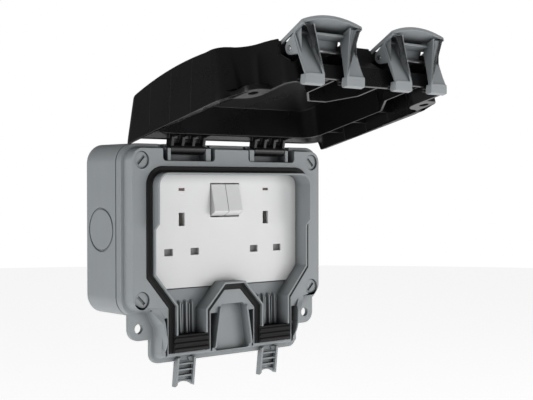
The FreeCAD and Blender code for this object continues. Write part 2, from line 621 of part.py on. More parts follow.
def hinge_slot(name, sign):
    """Slot in the frame's top edge, less the two ears that carry the hinge pin."""
    near = "slot_inner" if sign > 0 else "-slot_outer"
    far = "slot_outer" if sign > 0 else "-slot_inner"
    slot = extrude("slot_space_" + name, "front", "slot_floor", "60", rounded(
        near, far, "hinge_height - slot_drop", "hinge_height + 20", "2.5"))
    ears = []
    for label, start, width in (
            ("outer", "knuckle_outer + ear_gap", "ear_outer"),
            ("inner", "knuckle_inner - ear_gap - ear_inner", "ear_inner")):
        x = start if sign > 0 else f"-({start}) - {width}"
        round_end = rod(f"ear_round_{label}_{name}", "right", "knuckle_radius", width,
                        x, "hinge_depth", "hinge_height")
        foot = block(f"ear_foot_{label}_{name}", x, f"({x}) + {width}", "slot_floor - 1",
                     "hinge_depth + knuckle_radius", "hinge_height - slot_drop - 1",
                     "hinge_height")
        back = block(f"ear_back_{label}_{name}", x, f"({x}) + {width}", "slot_floor - 1",
                     "hinge_depth", "hinge_height - 1", "hinge_height + 3")
        ears.append(fuse(f"ear_{label}_{name}", [round_end, foot, back]))
    bore = rod("hinge_bore_" + name, "right", "hinge_pin + pin_gap", pin_length(),
               pin_start(sign), "hinge_depth", "hinge_height")
    return fuse("hinge_space_" + name, [cut("slot_less_ears_" + name, slot, ears), bore])


def pin_length():
    """Hinge pins reach through both ears."""
    return "knuckle_outer - knuckle_inner + 2 * ear_gap + ear_outer + ear_inner + 0.6"


def pin_start(sign):
    start = "knuckle_inner - ear_gap - ear_inner - 0.3"
    return start if sign > 0 else f"-({start}) - ({pin_length()})"


def pocket_cuts():
    """Latch pockets beside the channels, with a catch bar across, and the middle scoop."""
    cuts = []
    for name, sign in SIDES:
        for side, edge, limit, steps in (
                ("outer", "channel_centre + channel_half + 1.2", "skirt_half", (-6.8, -5.6, -8.4, -7.2)),
                ("inner", "channel_centre - channel_half - 1.2", "channel_centre - channel_half",
                 (-4.1, -5.1, -2.3, -3.7))):
            near = f"{sign} * ({edge})"
            outer = [f"{sign} * ({limit} + {step})" for step in steps]
            for label, low, high, start, end in (("top", 19.9, 30.4, outer[0], outer[1]),
                                                 ("low", 4.5, 17.7, outer[2], outer[3])):
                cuts.append(extrude(f"pocket_{side}_{label}_{name}", "front", "floor_depth", "40", [
                    (near, f"-skirt_drop + {low}"), (start, f"-skirt_drop + {low}"),
                    (end, f"-skirt_drop + {high}"), (near, f"-skirt_drop + {high}")]))
            cuts.append(extrude(f"catch_bar_{side}_{name}", "front", "face_front - 1.6", "20", [
                (near, "-skirt_drop + 17.5"), (outer[3], "-skirt_drop + 17.5"),
                (outer[0], "-skirt_drop + 20.1"), (near, "-skirt_drop + 20.1")]))
    cuts.append(extrude("scoop_cut", "front", "rim_front + 0.8", "20", mirrored([
        ("9", "-hump_top_drop - 9.9", "3", -1), ("11", "-hump_top_drop - 11.9"),
        ("15.4", "-skirt_drop + 7.5", "3.5", -1), ("13.4", "-skirt_drop + 4.5")])))
    return cuts


def build_lid_seal():
    """Rubber profile in the groove: a flat band with an upstand against the lip."""
    flat = cut("seal_flat", extrude("seal_flat_outer", "front", "face_front - seal_groove + 0.05",
                                    "seal_groove + seal_lift - 0.05", recess_outline("0.1")),
               [extrude("seal_flat_inner", "front", "face_front - 10", "40",
                        recess_outline("seal_width - 0.1"))])
    upstand = cut("seal_upstand_ring", extrude(
        "seal_upstand_outer", "front", "face_front - seal_groove + 0.05",
        "seal_groove + seal_lift + seal_upstand - 0.05", recess_outline("seal_width - 1.1")),
        [extrude("seal_upstand_inner", "front", "face_front - 10", "40",
                 recess_outline("seal_width - 0.1"))])
    keep("lid_seal", fuse("lid_seal", [flat, upstand]))


def build_glands():
    """Ribbed rubber block that closes the lower end of each cable channel."""
    half = "channel_half - lip_width - gland_gap"
    for name, sign in SIDES:
        low = f"{sign} * channel_centre - ({half})"
        high = f"{sign} * channel_centre + ({half})"
        body = block("gland_body_" + name, low, high, "floor_depth + 0.3", "seal_front - 1.6",
                     "-channel_drop + 0.3", "-gland_top")
        ribs = [block(f"gland_rib_{name}_{number}", low, high, "seal_front - 2", "seal_front",
                      f"-channel_drop + 0.3 + {number} * 2.85", f"-channel_drop + 1.9 + {number} * 2.85")
                for number in range(4)]
        notch = block("gland_notch_" + name, f"{sign} * channel_centre - 3",
                      f"{sign} * channel_centre + 3", "seal_front - 4", "seal_front + 1",
                      "-gland_top - 2.2", "-gland_top + 1")
        keep("cable_gland_" + name,
             cut("cable_gland_" + name, fuse("gland_block_" + name, [body] + ribs), [notch]))


def guide_section(label, name, x, z, back):
    """Outline of a cable guide at one height: side walls and a hollow floor."""
    inner = "(guide_half - guide_wall)"
    return draw(f"guide_{label}_{name}", "plan", z, [
        (f"{x} - guide_half", back), (f"{x} + guide_half", back),
        (f"{x} + guide_half", f"{back} + guide_depth"),
        (f"{x} + {inner}", f"{back} + guide_depth"), (f"{x} + {inner}", f"{back} + 2.6", "14", -1),
        (f"{x} - {inner}", f"{back} + 2.6"), (f"{x} - {inner}", f"{back} + guide_depth"),
        (f"{x} - guide_half", f"{back} + guide_depth")])


def build_guides():
    """Trough below each channel that steers the cable, leaning to the wall, with cross ribs."""
    for name, sign in SIDES:
        x = f"{sign} * channel_centre"
        trough = loft("guide_trough_" + name, [
            guide_section("foot", name, x, "-guide_top - guide_length", "guide_back - guide_lean"),
            guide_section("head", name, x, "-guide_top", "guide_back")])
        seat = block("guide_seat_" + name, f"{x} - guide_half - 1", f"{x} + guide_half + 1", "0",
                     "rim_front + 0.3", "-skirt_drop - 0.3", "-guide_top + 1")
        mouth = rod("guide_mouth_" + name, "forward", "guide_mouth", "30", x, "guide_back - 9",
                    "-guide_top - guide_length + 3 - guide_mouth")
        tongue = block("guide_tongue_" + name, f"{x} - guide_half + 2.3", f"{x} + guide_half - 2.3",
                       "floor_depth", "rim_front - 0.3", "-skirt_drop - 3",
                       "-skirt_drop + guide_seat - 0.3")
        ribs = []
        for number in range(3):
            drop = f"(4.5 + {number} * 4.1)"
            back = f"guide_back - guide_lean * {drop} / guide_length"
            ribs.append(block(f"guide_rib_{name}_{number}", f"{x} - guide_half + 1",
                              f"{x} + guide_half - 1", f"{back} + 0.6", f"{back} + 2.9",
                              f"-guide_top - {drop} - 0.6", f"-guide_top - {drop} + 0.6"))
        keep("cable_guide_" + name, fuse("cable_guide_" + name, [
            cut("guide_open_" + name, trough, [seat, mouth]), tongue] + ribs))


def outlet_spots():
    """Places of the apertures of one outlet, as formulas: label, x offset, z, width, height."""
    return (("line", "pin_pitch / 2", "-pin_drop", "flat_pin_width", "flat_pin_height"),
            ("neutral", "-pin_pitch / 2", "-pin_drop", "flat_pin_width", "flat_pin_height"),
            ("earth", "0", "-pin_drop + earth_rise", "earth_width", "earth_height"))


def apertures(prefix, low, high, spare):
    """Blocks through a moulding at every pin aperture, widened by a spare margin."""
    cuts = []
    for name, sign in SIDES:
        for label, offset, z, width, height in outlet_spots():
            x = f"{sign} * outlet_pitch / 2 + {offset}"
            cuts.append(block(f"{prefix}_{label}_{name}", f"{x} - {width} / 2 - {spare}",
                              f"{x} + {width} / 2 + {spare}", low, high,
                              f"{z} - {height} / 2 - {spare}", f"{z} + {height} / 2 + {spare}"))
    return cuts


def build_plate():
    """White front plate with pin apertures, rocker window and neon windows."""
    back = "plate_front - plate_thickness"
    plate = extrude("plate_solid", "front", back, "plate_thickness", rounded(
        "-plate_half", "plate_half", "-window_drop - plate_lap", "window_top + plate_lap", "3"))
    cuts = apertures("plate_cut", "0", "60", "0")
    cuts.append(block("rocker_window", "-rocker_width - rocker_gap", "rocker_width + rocker_gap",
                      "0", "60", "rocker_rise - rocker_height / 2 - rocker_gap",
                      "rocker_rise + rocker_height / 2 + rocker_gap"))
    for name, sign in SIDES:
        cuts.append(block("neon_window_" + name, f"{sign} * outlet_pitch / 2 - 2.5",
                          f"{sign} * outlet_pitch / 2 + 2.5", "0", "60", "25.6", "27.4"))
    for name, x_sign, z_sign in CORNERS:
        cuts.append(rod("wing_hole_" + name, "forward", "1.8", "20",
                        f"{x_sign} * (plate_half - 4.5)", "30", f"{z_sign} * 20"))
    keep("socket_plate", cut("socket_plate", plate, cuts))
    for name, sign in SIDES:
        keep("neon_lens_" + name, block(
            "neon_lens_" + name, f"{sign} * outlet_pitch / 2 - 2.4",
            f"{sign} * outlet_pitch / 2 + 2.4", back, "plate_front - 0.3", "25.7", "27.3"))


def bar_trench(name, x_low, x_high, z):
    """Trench in the mechanism housing for a brass bar."""
    return block(name, x_low, x_high, "contact_floor", "60", f"{z} - bar_width / 2 - 0.5",
                 f"{z} + bar_width / 2 + 0.5")


def build_base():
    """Rear housing of the mechanism, with contact chambers, bar trenches and switch well."""
    top = "plate_front - plate_thickness"
    body = extrude("base_solid", "front", "base_back", f"{top} - base_back", rounded(
        "-base_half", "base_half", "-window_drop + 3", "window_top - 3", "4"))
    cuts = [bar_trench("neutral_trench", "-outlet_pitch / 2 - pin_pitch / 2 - 4.1",
                       "outlet_pitch / 2 - pin_pitch / 2 + 4.1", "-neutral_drop"),
            bar_trench("earth_trench", "-outlet_pitch / 2 - 4.1", "outlet_pitch / 2 + 4.1",
                       "earth_bar_rise"),
            bar_trench("line_trench", "-rocker_width", "rocker_width", "line_bar_rise")]
    for name, sign in SIDES:
        for label, offset, z, width, height in outlet_spots():
            x = f"{sign} * outlet_pitch / 2 + {offset}"
            low = "-neutral_drop" if label == "neutral" else f"{z} - 6.2"
            high = "earth_bar_rise" if label == "earth" else f"{z} + 6.2"
            cuts.append(block(f"chamber_{label}_{name}", f"{x} - 5.5", f"{x} + 5.5",
                              "contact_floor", "60", low, high))
        cuts.append(block("shutter_way_" + name, f"{sign} * outlet_pitch / 2 - 17.5",
                          f"{sign} * outlet_pitch / 2 + 17.5", f"{top} - 4.4", "60",
                          "-pin_drop - 10", "-pin_drop + earth_rise + 6.2"))
        low, high = (("1", "rocker_width + 0.3") if sign > 0 else ("-rocker_width - 0.3", "-1"))
        cuts.append(block("switch_well_" + name, low, high, f"{top} - 14", "60",
                          "rocker_rise - rocker_height / 2 - 2",
                          "rocker_rise + rocker_height / 2 + 2"))
    cuts.append(block("switch_lid_room", "-rocker_width - 0.3", "rocker_width + 0.3",
                      f"{top} - 1.4", "60", "rocker_rise - rocker_height / 2 - 2",
                      "rocker_rise + rocker_height / 2 + 2"))
    cuts.append(block("switch_dip_room", "-rocker_width - 0.3", "rocker_width + 0.3",
                      f"{top} - rocker_dip", "60", "rocker_rise - rocker_height / 2 - 2",
                      "rocker_rise - rocker_height / 2 + 3.5"))
    cuts.append(rod("rocker_pin_bore", "right", "rocker_pin + pin_gap", "2 * rocker_width + 5",
                    "-rocker_width - 2.5", "rocker_axis", "rocker_rise"))
    for name, x, z in terminal_spots():
        cuts.append(rod("terminal_bore_" + name, "forward", "2.6", "20", x, "0", z))
    keep("socket_base", cut("socket_base", body, cuts))
    keep("rocker_pin", rod("rocker_pin", "right", "rocker_pin", "2 * rocker_width + 4.6",
                           "-rocker_width - 2.3", "rocker_axis", "rocker_rise"))


def terminal_spots():
    """Places of the terminal screws on the back: one each for neutral, earth and line."""
    return (("neutral", "-11", "-neutral_drop"), ("earth", "0", "earth_bar_rise"),
            ("line", "0", "line_bar_rise"))


def clip(label, name, sign, offset, z):
    """Sprung brass clip, U-shaped, behind one aperture."""
    x = f"{sign} * outlet_pitch / 2 + {offset}"
    across = "earth_width" if label == "earth" else "flat_pin_width"
    outer = block(f"clip_outer_{label}_{name}", f"{x} - {across} / 2 - bar_thickness",
                  f"{x} + {across} / 2 + bar_thickness", "contact_floor", "contact_floor + 13",
                  f"{z} - 4.5", f"{z} + 4.5")
    inner = block(f"clip_inner_{label}_{name}", f"{x} - {across} / 2 - 0.3",
                  f"{x} + {across} / 2 + 0.3", "contact_floor + bar_thickness",
                  "contact_floor + 14", f"{z} - 5", f"{z} + 5")
    return cut(f"clip_{label}_{name}", outer, [inner])


def bar(name, x_low, x_high, z_low, z_high):
    return block(name, x_low, x_high, "contact_floor", "contact_floor + bar_thickness",
                 z_low, z_high)


def build_contacts():
    """Neutral and earth clips joined by bars, separate line clips, line bar and screws."""
    spots = {label: (offset, z) for label, offset, z, width, height in outlet_spots()}
    offset, z = spots["neutral"]
    pieces = [clip("neutral", name, sign, offset, z) for name, sign in SIDES]
    pieces.append(bar("neutral_strip", f"-outlet_pitch / 2 + {offset} - 3",
                      f"outlet_pitch / 2 + {offset} + 3", "-neutral_drop - bar_width / 2",
                      "-neutral_drop + bar_width / 2"))
    pieces += [bar("neutral_tab_" + name, f"{sign} * outlet_pitch / 2 + {offset} - 3",
                   f"{sign} * outlet_pitch / 2 + {offset} + 3", "-neutral_drop", f"{z} - 4")
               for name, sign in SIDES]
    keep("neutral_bar", fuse("neutral_bar", pieces))
    offset, z = spots["earth"]
    pieces = [clip("earth", name, sign, offset, z) for name, sign in SIDES]
    pieces.append(bar("earth_strip", "-outlet_pitch / 2 - 3", "outlet_pitch / 2 + 3",
                      "earth_bar_rise - bar_width / 2", "earth_bar_rise + bar_width / 2"))
    pieces += [bar("earth_tab_" + name, f"{sign} * outlet_pitch / 2 - 3",
                   f"{sign} * outlet_pitch / 2 + 3", f"{z} + 4", "earth_bar_rise")
               for name, sign in SIDES]
    keep("earth_bar", fuse("earth_bar", pieces))
    offset, z = spots["line"]
    for name, sign in SIDES:
        keep("line_clip_" + name, clip("line", name, sign, offset, z))
    keep("line_bar", bar("line_bar", "-rocker_width + 0.5", "rocker_width - 0.5",
                         "line_bar_rise - bar_width / 2", "line_bar_rise + bar_width / 2"))
    screws = [rod("terminal_" + name, "forward", "2.3", "contact_floor - 10.3", x, "10", z)
              for name, x, z in terminal_spots()]
    keep("terminal_screws", group("terminal_screws", screws))


def build_shutters():
    """Slide behind the line and neutral apertures, with its return spring."""
    back = "plate_front - plate_thickness - 3.9"
    front = "plate_front - plate_thickness - 0.3"
    for name, sign in SIDES:
        x = f"{sign} * outlet_pitch / 2"
        slide = block("shutter_slide_" + name, f"{x} - 16.5", f"{x} + 16.5", back, front,
                      "-pin_drop - 3.5", "-pin_drop + 3.4")
        stem = block("shutter_stem_" + name, f"{x} - 5", f"{x} + 5", back, front,
                     "-pin_drop + 3", "-pin_drop + earth_rise - 5.2")
        notch = block("shutter_notch_" + name, f"{x} - 1.9", f"{x} + 1.9", f"{back} - 1",
                      f"{front} + 1", "-pin_drop - 5", "-pin_drop + 1.5")
        keep("shutter_" + name, cut("shutter_" + name,
                                    fuse("shutter_solid_" + name, [slide, stem]), [notch]))
        spring = rod("spring_solid_" + name, "up", "1.5", "11.1", x, f"{back} + 1.8",
                     "-pin_drop - 9.8")
        hollow = rod("spring_hollow_" + name, "up", "0.9", "14", x, f"{back} + 1.8",
                     "-pin_drop - 11")
        keep("shutter_spring_" + name, cut("shutter_spring_" + name, spring, [hollow]))


def build_rockers():
    """Two rockers on one pin, lower ends standing out of the plate, each on a plunger."""
    low = "rocker_rise - rocker_height / 2 + 0.4"
    high = "rocker_rise + rocker_height / 2 - 0.4"
    for name, sign in SIDES:
        x = "rocker_gap / 2" if sign > 0 else "-rocker_width"
        middle = f"{sign} * (rocker_width / 2 + 0.6)"
        cap = extrude("rocker_cap_" + name, "side", x, "rocker_width - rocker_gap / 2", [
            ("plate_front - 2.5", low), ("plate_front - 0.4", low),
            ("plate_front + 2.2", f"{low} + 2.2"), ("plate_front + 2.4", f"{low} + 3.4"),
            ("plate_front + 0.4", high), ("plate_front - 2.5", high)])
        lug = extrude("rocker_lug_" + name, "side", f"{middle} - 3.5", "7", [
            ("rocker_axis - 2.6", "rocker_rise - 1.2"), ("rocker_axis - 2.6", "rocker_rise + 1.2"),
            ("rocker_axis", "rocker_rise + 2.6"), ("plate_front - 1", "rocker_rise + 3.4"),
            ("plate_front - 1", "rocker_rise - 3.4"), ("rocker_axis", "rocker_rise - 2.6")])
        bore = rod("rocker_bore_" + name, "right", "rocker_pin + pin_gap", "20",
                   f"{middle} - 10", "rocker_axis", "rocker_rise")
        keep("rocker_" + name, cut("rocker_" + name, fuse("rocker_solid_" + name, [cap, lug]),
                                   [bore]))
        keep("switch_plunger_" + name, rod(
            "switch_plunger_" + name, "forward", "1.4",
            "rocker_axis - 3 - plate_front + plate_thickness + 13.6", middle,
            "plate_front - plate_thickness - 13.7", "rocker_rise"))


def build_cover_screws():
    """Quarter-turn cover screws with a driver slot and a cross lug at the tip."""
    for name, x_sign, z_sign in CORNERS:
        x = f"{x_sign} * screw_pitch_x / 2"
        z = f"{z_sign} * screw_pitch_z / 2"
        head = rod("screw_head_" + name, "forward", "screw_head", "3 - screw_recess", x,
                   "face_front - 3.1", z)
        shank = rod("screw_shank_" + name, "forward", "2.6", "face_front - 16", x, "14", z)
        slot = block("screw_slot_" + name, "-3.6", "3.6", "-1", "1.5", "-0.9", "0.9")
        slot.setExpression("Placement", link(
            f"placement(vector({x}; screw_recess - face_front - 0.2; {z});"
            f" rotation(vector(0; 1; 0); {45 * x_sign * z_sign}))"
            " * placement(vector(-3.6; -1; -0.9); rotation(vector(0; 0; 1); 0))"))
        lug = block("screw_lug_" + name, f"{x} - 3.2", f"{x} + 3.2", "14", "16.4",
                    f"{z} - 1", f"{z} + 1")
        keep("cover_screw_" + name, cut("cover_screw_" + name,
                                        fuse("screw_solid_" + name, [head, shank, lug]),
                                        [slot]))


def build_module_screws():
    """Four small screws that hold the plate's wings to the posts of the frame."""
    screws = []
    for name, x_sign, z_sign in CORNERS:
        x = f"{x_sign} * (plate_half - 4.5)"
        z = f"{z_sign} * 20"
        head = rod("wing_head_" + name, "forward", "3", "2", x,
                   "plate_front - plate_thickness - 2", z)
        shank = rod("wing_shank_" + name, "forward", "1.2", "6.5", x,
                    "plate_front - plate_thickness - 1", z)
        screws.append(fuse("wing_screw_" + name, [head, shank]))
    keep("plate_screws", group("plate_screws", screws))


def lid_side_profile(inset):
    """Side view of the closed lid: crest, long front, chin and skirt."""
    low = f"-lid_drop + ({inset})"
    front = f"lid_front - lid_fall - ({inset})"
    crest = f"lid_crest - ({inset}) * (lid_lean - lid_slope)"
    return [("lid_edge - 30", low), (f"lid_edge + 11 - ({inset}) / 2", low),
            (f"lid_edge + 19 - ({inset})", f"-lid_chin + ({inset})"),
            (f"lid_front - 4.5 - ({inset})", f"-lid_chin + ({inset})", "200", 1),
            (f"lid_front - ({inset})", "-40", "260", 1),
            (front, f"{crest} - crest_bend", "crest_bend / tan(atan(1 / lid_slope) / 2)", 1),
            (f"{front} - crest_bend / lid_lean", f"{crest} + crest_bend * lid_slope / lid_lean"),
            ("lid_edge - 30", "box_height / 2 + 50")]


def lid_ring(name, depth, inset, draft):
    """Outline of the lid at one depth; its top follows the sloping wall."""
    top = (f"box_height / 2 - lid_top_drop - ({depth} - lid_edge) * lid_slope"
           f" - ({inset}) * lid_lean")
    return draw(name, "front", depth, body_outline(f"{inset} + {draft}", top, "lid_skirt_half",
                                                   "lid_drop", "lid_skirt_radius"))


def lid_solid(name, inset, start):
    """Drafted lid outline within the lid's side view, moved inward by an inset."""
    walls = loft(name + "_walls", [lid_ring(name + "_foot", start, inset, "0"),
                                   lid_ring(name + "_crown", "lid_front + 2", inset, "lid_draft")])
    side = extrude(name + "_side", "side", "-box_width", "2 * box_width",
                   lid_side_profile(inset))
    return common(name, [walls, side])


def build_lid():
    """Black lid: drafted shell, sealing wall, stiffening ribs, knuckles and latch bosses."""
    inner = lid_solid("lid_inner", "wall", "lid_edge - 1")
    shell = cut("lid_shell", lid_solid("lid_outer", "0", "lid_edge"), [inner])
    wall = cut("sealing_ring", extrude("sealing_outer", "front", "rib_edge", "40",
                                       recess_outline("rib_inset", "-channel_drop + 3")),
               [extrude("sealing_inner", "front", "rib_edge - 1", "42",
                        recess_outline("rib_inset + rib_wall", "-channel_drop + 3 + rib_wall")),
                lip_room()])
    ribs = []
    fins = []
    ears = []
    for name, sign in SIDES:
        near = f"{sign} * (seal_half - rib_inset - 0.5)"
        far = f"{sign} * (box_width / 2 - wall)"
        low, high = (near, far) if sign > 0 else (far, near)
        ribs += [block(f"side_rib_{name}_{number}", low, high, "rib_edge", "lid_front",
                       f"{height} - 0.8", f"{height} + 0.8")
                 for number, height in enumerate((23, -2, -28))]
        fins += hinge_fins(name, sign)
        ears.append(cut("lid_ear_" + name, extrude(
            "ear_plate_" + name, "front", "lid_edge", "3.4", lug_outline(sign, "skirt_half")),
            [inner]))
    inside = common("lid_inside", [fuse("lid_ribs", [wall] + ribs),
                                   lid_solid("lid_limit", "0.6", "lid_edge - 1")])
    pockets = common("lid_pockets", [fuse("pocket_shells", [
        pocket_block(name, sign, "pocket_wall") for name, sign in SIDES]),
        lid_solid("pocket_limit", "0.5", "lid_edge - 1")])
    solid = fuse("lid_solid", [shell, inside, pockets] + ears + latch_bosses())
    body = cut("lid_body", solid, lid_rooms() + lid_holes())
    stiffeners = common("lid_fins", [fuse("hinge_fins", fins),
                                     lid_solid("fin_limit", "0.6", "lid_edge - 1")])
    lid = cut("lid", fuse("lid_hinged", [body, stiffeners] + knuckles()), hinge_bores())
    keep("lid", open_lid(lid))


def lid_rooms():
    """Room in the lid's edge for the frame's face, the guides and the latches' feet."""
    relief = block("lid_relief_cut", "-box_width", "box_width", "0", "lid_relief",
                   "hinge_height - 6", "hinge_height + 40")
    face = loft("face_room", [
        draw("face_room_foot", "front", "rim_front - 0.5",
             body_outline("rim_step - relief_gap", "face_top + 1", "skirt_half", "skirt_drop")),
        draw("face_room_edge", "front", "face_front + relief_gap",
             body_outline("rim_step + face_draft - relief_gap", "face_top + relief_gap",
                          "skirt_half", "skirt_drop"))])
    rooms = [relief, face]
    for name, sign in SIDES:
        x = f"{sign} * channel_centre"
        rooms.append(block("guide_room_" + name, f"{x} - guide_half - 0.6", f"{x} + guide_half + 0.6",
                           "0", "guide_back + guide_depth + 0.6", "-lid_drop - 1",
                           "-guide_top + 0.6"))
        rooms.append(block("foot_room_" + name, f"{x} - latch_half - 1.2", f"{x} + latch_half + 1.2",
                           "0", "lid_edge + 1.4", "-lid_drop - 1", "-lid_drop + 1.8"))
    return rooms


def lip_room():
    """Room in the sealing wall for the frame's lower lip and the seal's upstand."""
    return cut("lip_room", extrude("lip_room_outer", "front", "rib_edge - 1", "lip_low + 1",
                                   recess_outline("seal_width - 1.4")),
               [extrude("lip_room_inner", "front", "rib_edge - 2", "lip_low + 3",
                        recess_outline("lip_width + 0.3"))])


def hinge_fins(name, sign):
    """Four stiffening fins from each knuckle to the sealing wall, under the sloping wall."""
    spread = "(knuckle_outer - knuckle_inner - 2.2) / 3"
    start = "knuckle_inner" if sign > 0 else "-knuckle_outer"
    return [extrude(f"hinge_fin_{name}_{number}", "side", f"{start} + {number} * {spread}", "2.2", [
        ("hinge_depth", "hinge_height - knuckle_radius + 0.6"),
        ("rib_edge + 0.1", "hinge_height - 6.5"), ("rib_edge + 0.1", "seal_top - 1"),
        ("lid_front - 6", "seal_top - 1"), ("lid_relief + 0.5", "hinge_height + 2"),
        ("hinge_depth + 1.5", "hinge_height + 2.6")]) for number in range(4)]


def pocket_block(name, sign, grow):
    """Space of a latch in the lid's chin, grown by a wall."""
    half = f"(latch_half + 1.6 + latch_gap + {grow})"
    return block(f"pocket_{grow}_{name}".replace(".", "_"), f"{sign} * channel_centre - {half}",
                 f"{sign} * channel_centre + {half}", f"lid_edge + 12.2 - {grow}", "120",
                 "-lid_drop - 10", f"-latch_pivot_drop + pocket_rise + {grow}")


def knuckles():
    """Barrel of each hinge and the thin web that joins it to the lid's top wall."""
    made = []
    for name, sign in SIDES:
        x = "knuckle_inner" if sign > 0 else "-knuckle_outer"
        length = "knuckle_outer - knuckle_inner"
        barrel = rod("barrel_" + name, "right", "knuckle_radius", length, x,
                     "hinge_depth", "hinge_height")
        web = extrude("knuckle_web_" + name, "side", x, length, [
            ("hinge_depth", "hinge_height + 1.4"), ("lid_relief + 1.5", "hinge_height - 3.2"),
            ("lid_relief + 1.5", "hinge_height - 1.2"), ("hinge_depth", "hinge_height + 3.6")])
        made.append(fuse("knuckle_" + name, [barrel, web]))
    return made


def hinge_bores():
    return [rod("knuckle_bore_" + name, "right", "hinge_pin + pin_gap", pin_length(),
                pin_start(sign), "hinge_depth", "hinge_height") for name, sign in SIDES]


def lid_holes():
    """Padlock holes, latch pockets and latch pin bores."""
    cuts = []
    for name, sign in SIDES:
        cuts.append(rod("ear_hole_" + name, "forward", "lug_hole", "8",
                        f"{sign} * lug_spacing / 2", "lid_edge - 1", "-lug_drop"))
        cuts.append(cut("pocket_space_" + name, pocket_block(name, sign, "0"),
                        [boss(f"room_{name}_{side + 1}", sign, side) for side in (-1, 1)]))
        cuts.append(rod("boss_bore_" + name, "right", "latch_pin + pin_gap", "60",
                        f"{sign} * channel_centre - 30", "latch_pivot_depth",
                        "-latch_pivot_drop"))
    return cuts


def boss(label, sign, side):
    """Round boss on a root that leans back, clear of the turning latch."""
    x = f"{sign} * channel_centre + {side} * (boss_outer - boss_width / 2) - boss_width / 2"
    tip = rod("boss_tip_" + label, "right", "latch_ear - 0.4", "boss_width", x,
              "latch_pivot_depth", "-latch_pivot_drop")
    root = extrude("boss_root_" + label, "side", x, "boss_width", [
        ("latch_pivot_depth - latch_ear + 0.5", "-latch_pivot_drop"),
        ("latch_pivot_depth + 0.8", "-latch_pivot_drop"),
        ("latch_pivot_depth + 0.8", "-latch_pivot_drop + pocket_rise + 1"),
        ("latch_pivot_depth - latch_ear - 2", "-latch_pivot_drop + pocket_rise + 1")])
    return fuse("boss_" + label, [tip, root])


def latch_bosses():
    """Bosses in the lid's pockets that carry the latch pins."""
    return [boss(f"{name}_{side + 1}", sign, side) for name, sign in SIDES for side in (-1, 1)]


def latch_shell(name, x):
    """Curved finger plate, leaning forward towards its lower edge."""
    def band(label, z, side_depth, bulge, inset):
        half = f"(latch_half + 0.6 - ({inset}))"
        return draw(f"latch_{label}_{name}", "plan", z, [
            (f"{x} - {half}", f"{side_depth} - 2.2"), (f"{x} + {half}", f"{side_depth} - 2.2"),
            (f"{x} + {half}", side_depth, f"{half} * {half} / 2 / ({bulge}) + ({bulge}) / 2", 1),
            (f"{x} - {half}", side_depth)])
    outer = loft("latch_outer_" + name, [
        band("outer_top", "-latch_pivot_drop + 5.6", "latch_pivot_depth + 6.2", "2.2", "0"),
        band("outer_low", "-latch_pivot_drop - 14.6", "latch_pivot_depth + 12.2", "4.5", "0")])
    inner = loft("latch_inner_" + name, [
        band("inner_top", "-latch_pivot_drop + 5.7", "latch_pivot_depth + 4.2", "2", "1.6"),
        band("inner_low", "-latch_pivot_drop - 14.7", "latch_pivot_depth + 10.2", "4.3", "1.6")])
    back = block("latch_back_" + name, f"{x} - latch_half + 1.2", f"{x} + latch_half - 1.2",
                 "latch_pivot_depth - 5", "latch_pivot_depth + 10.3", "-latch_pivot_drop - 20",
                 "-latch_pivot_drop + 10")
    return outer, inner, back


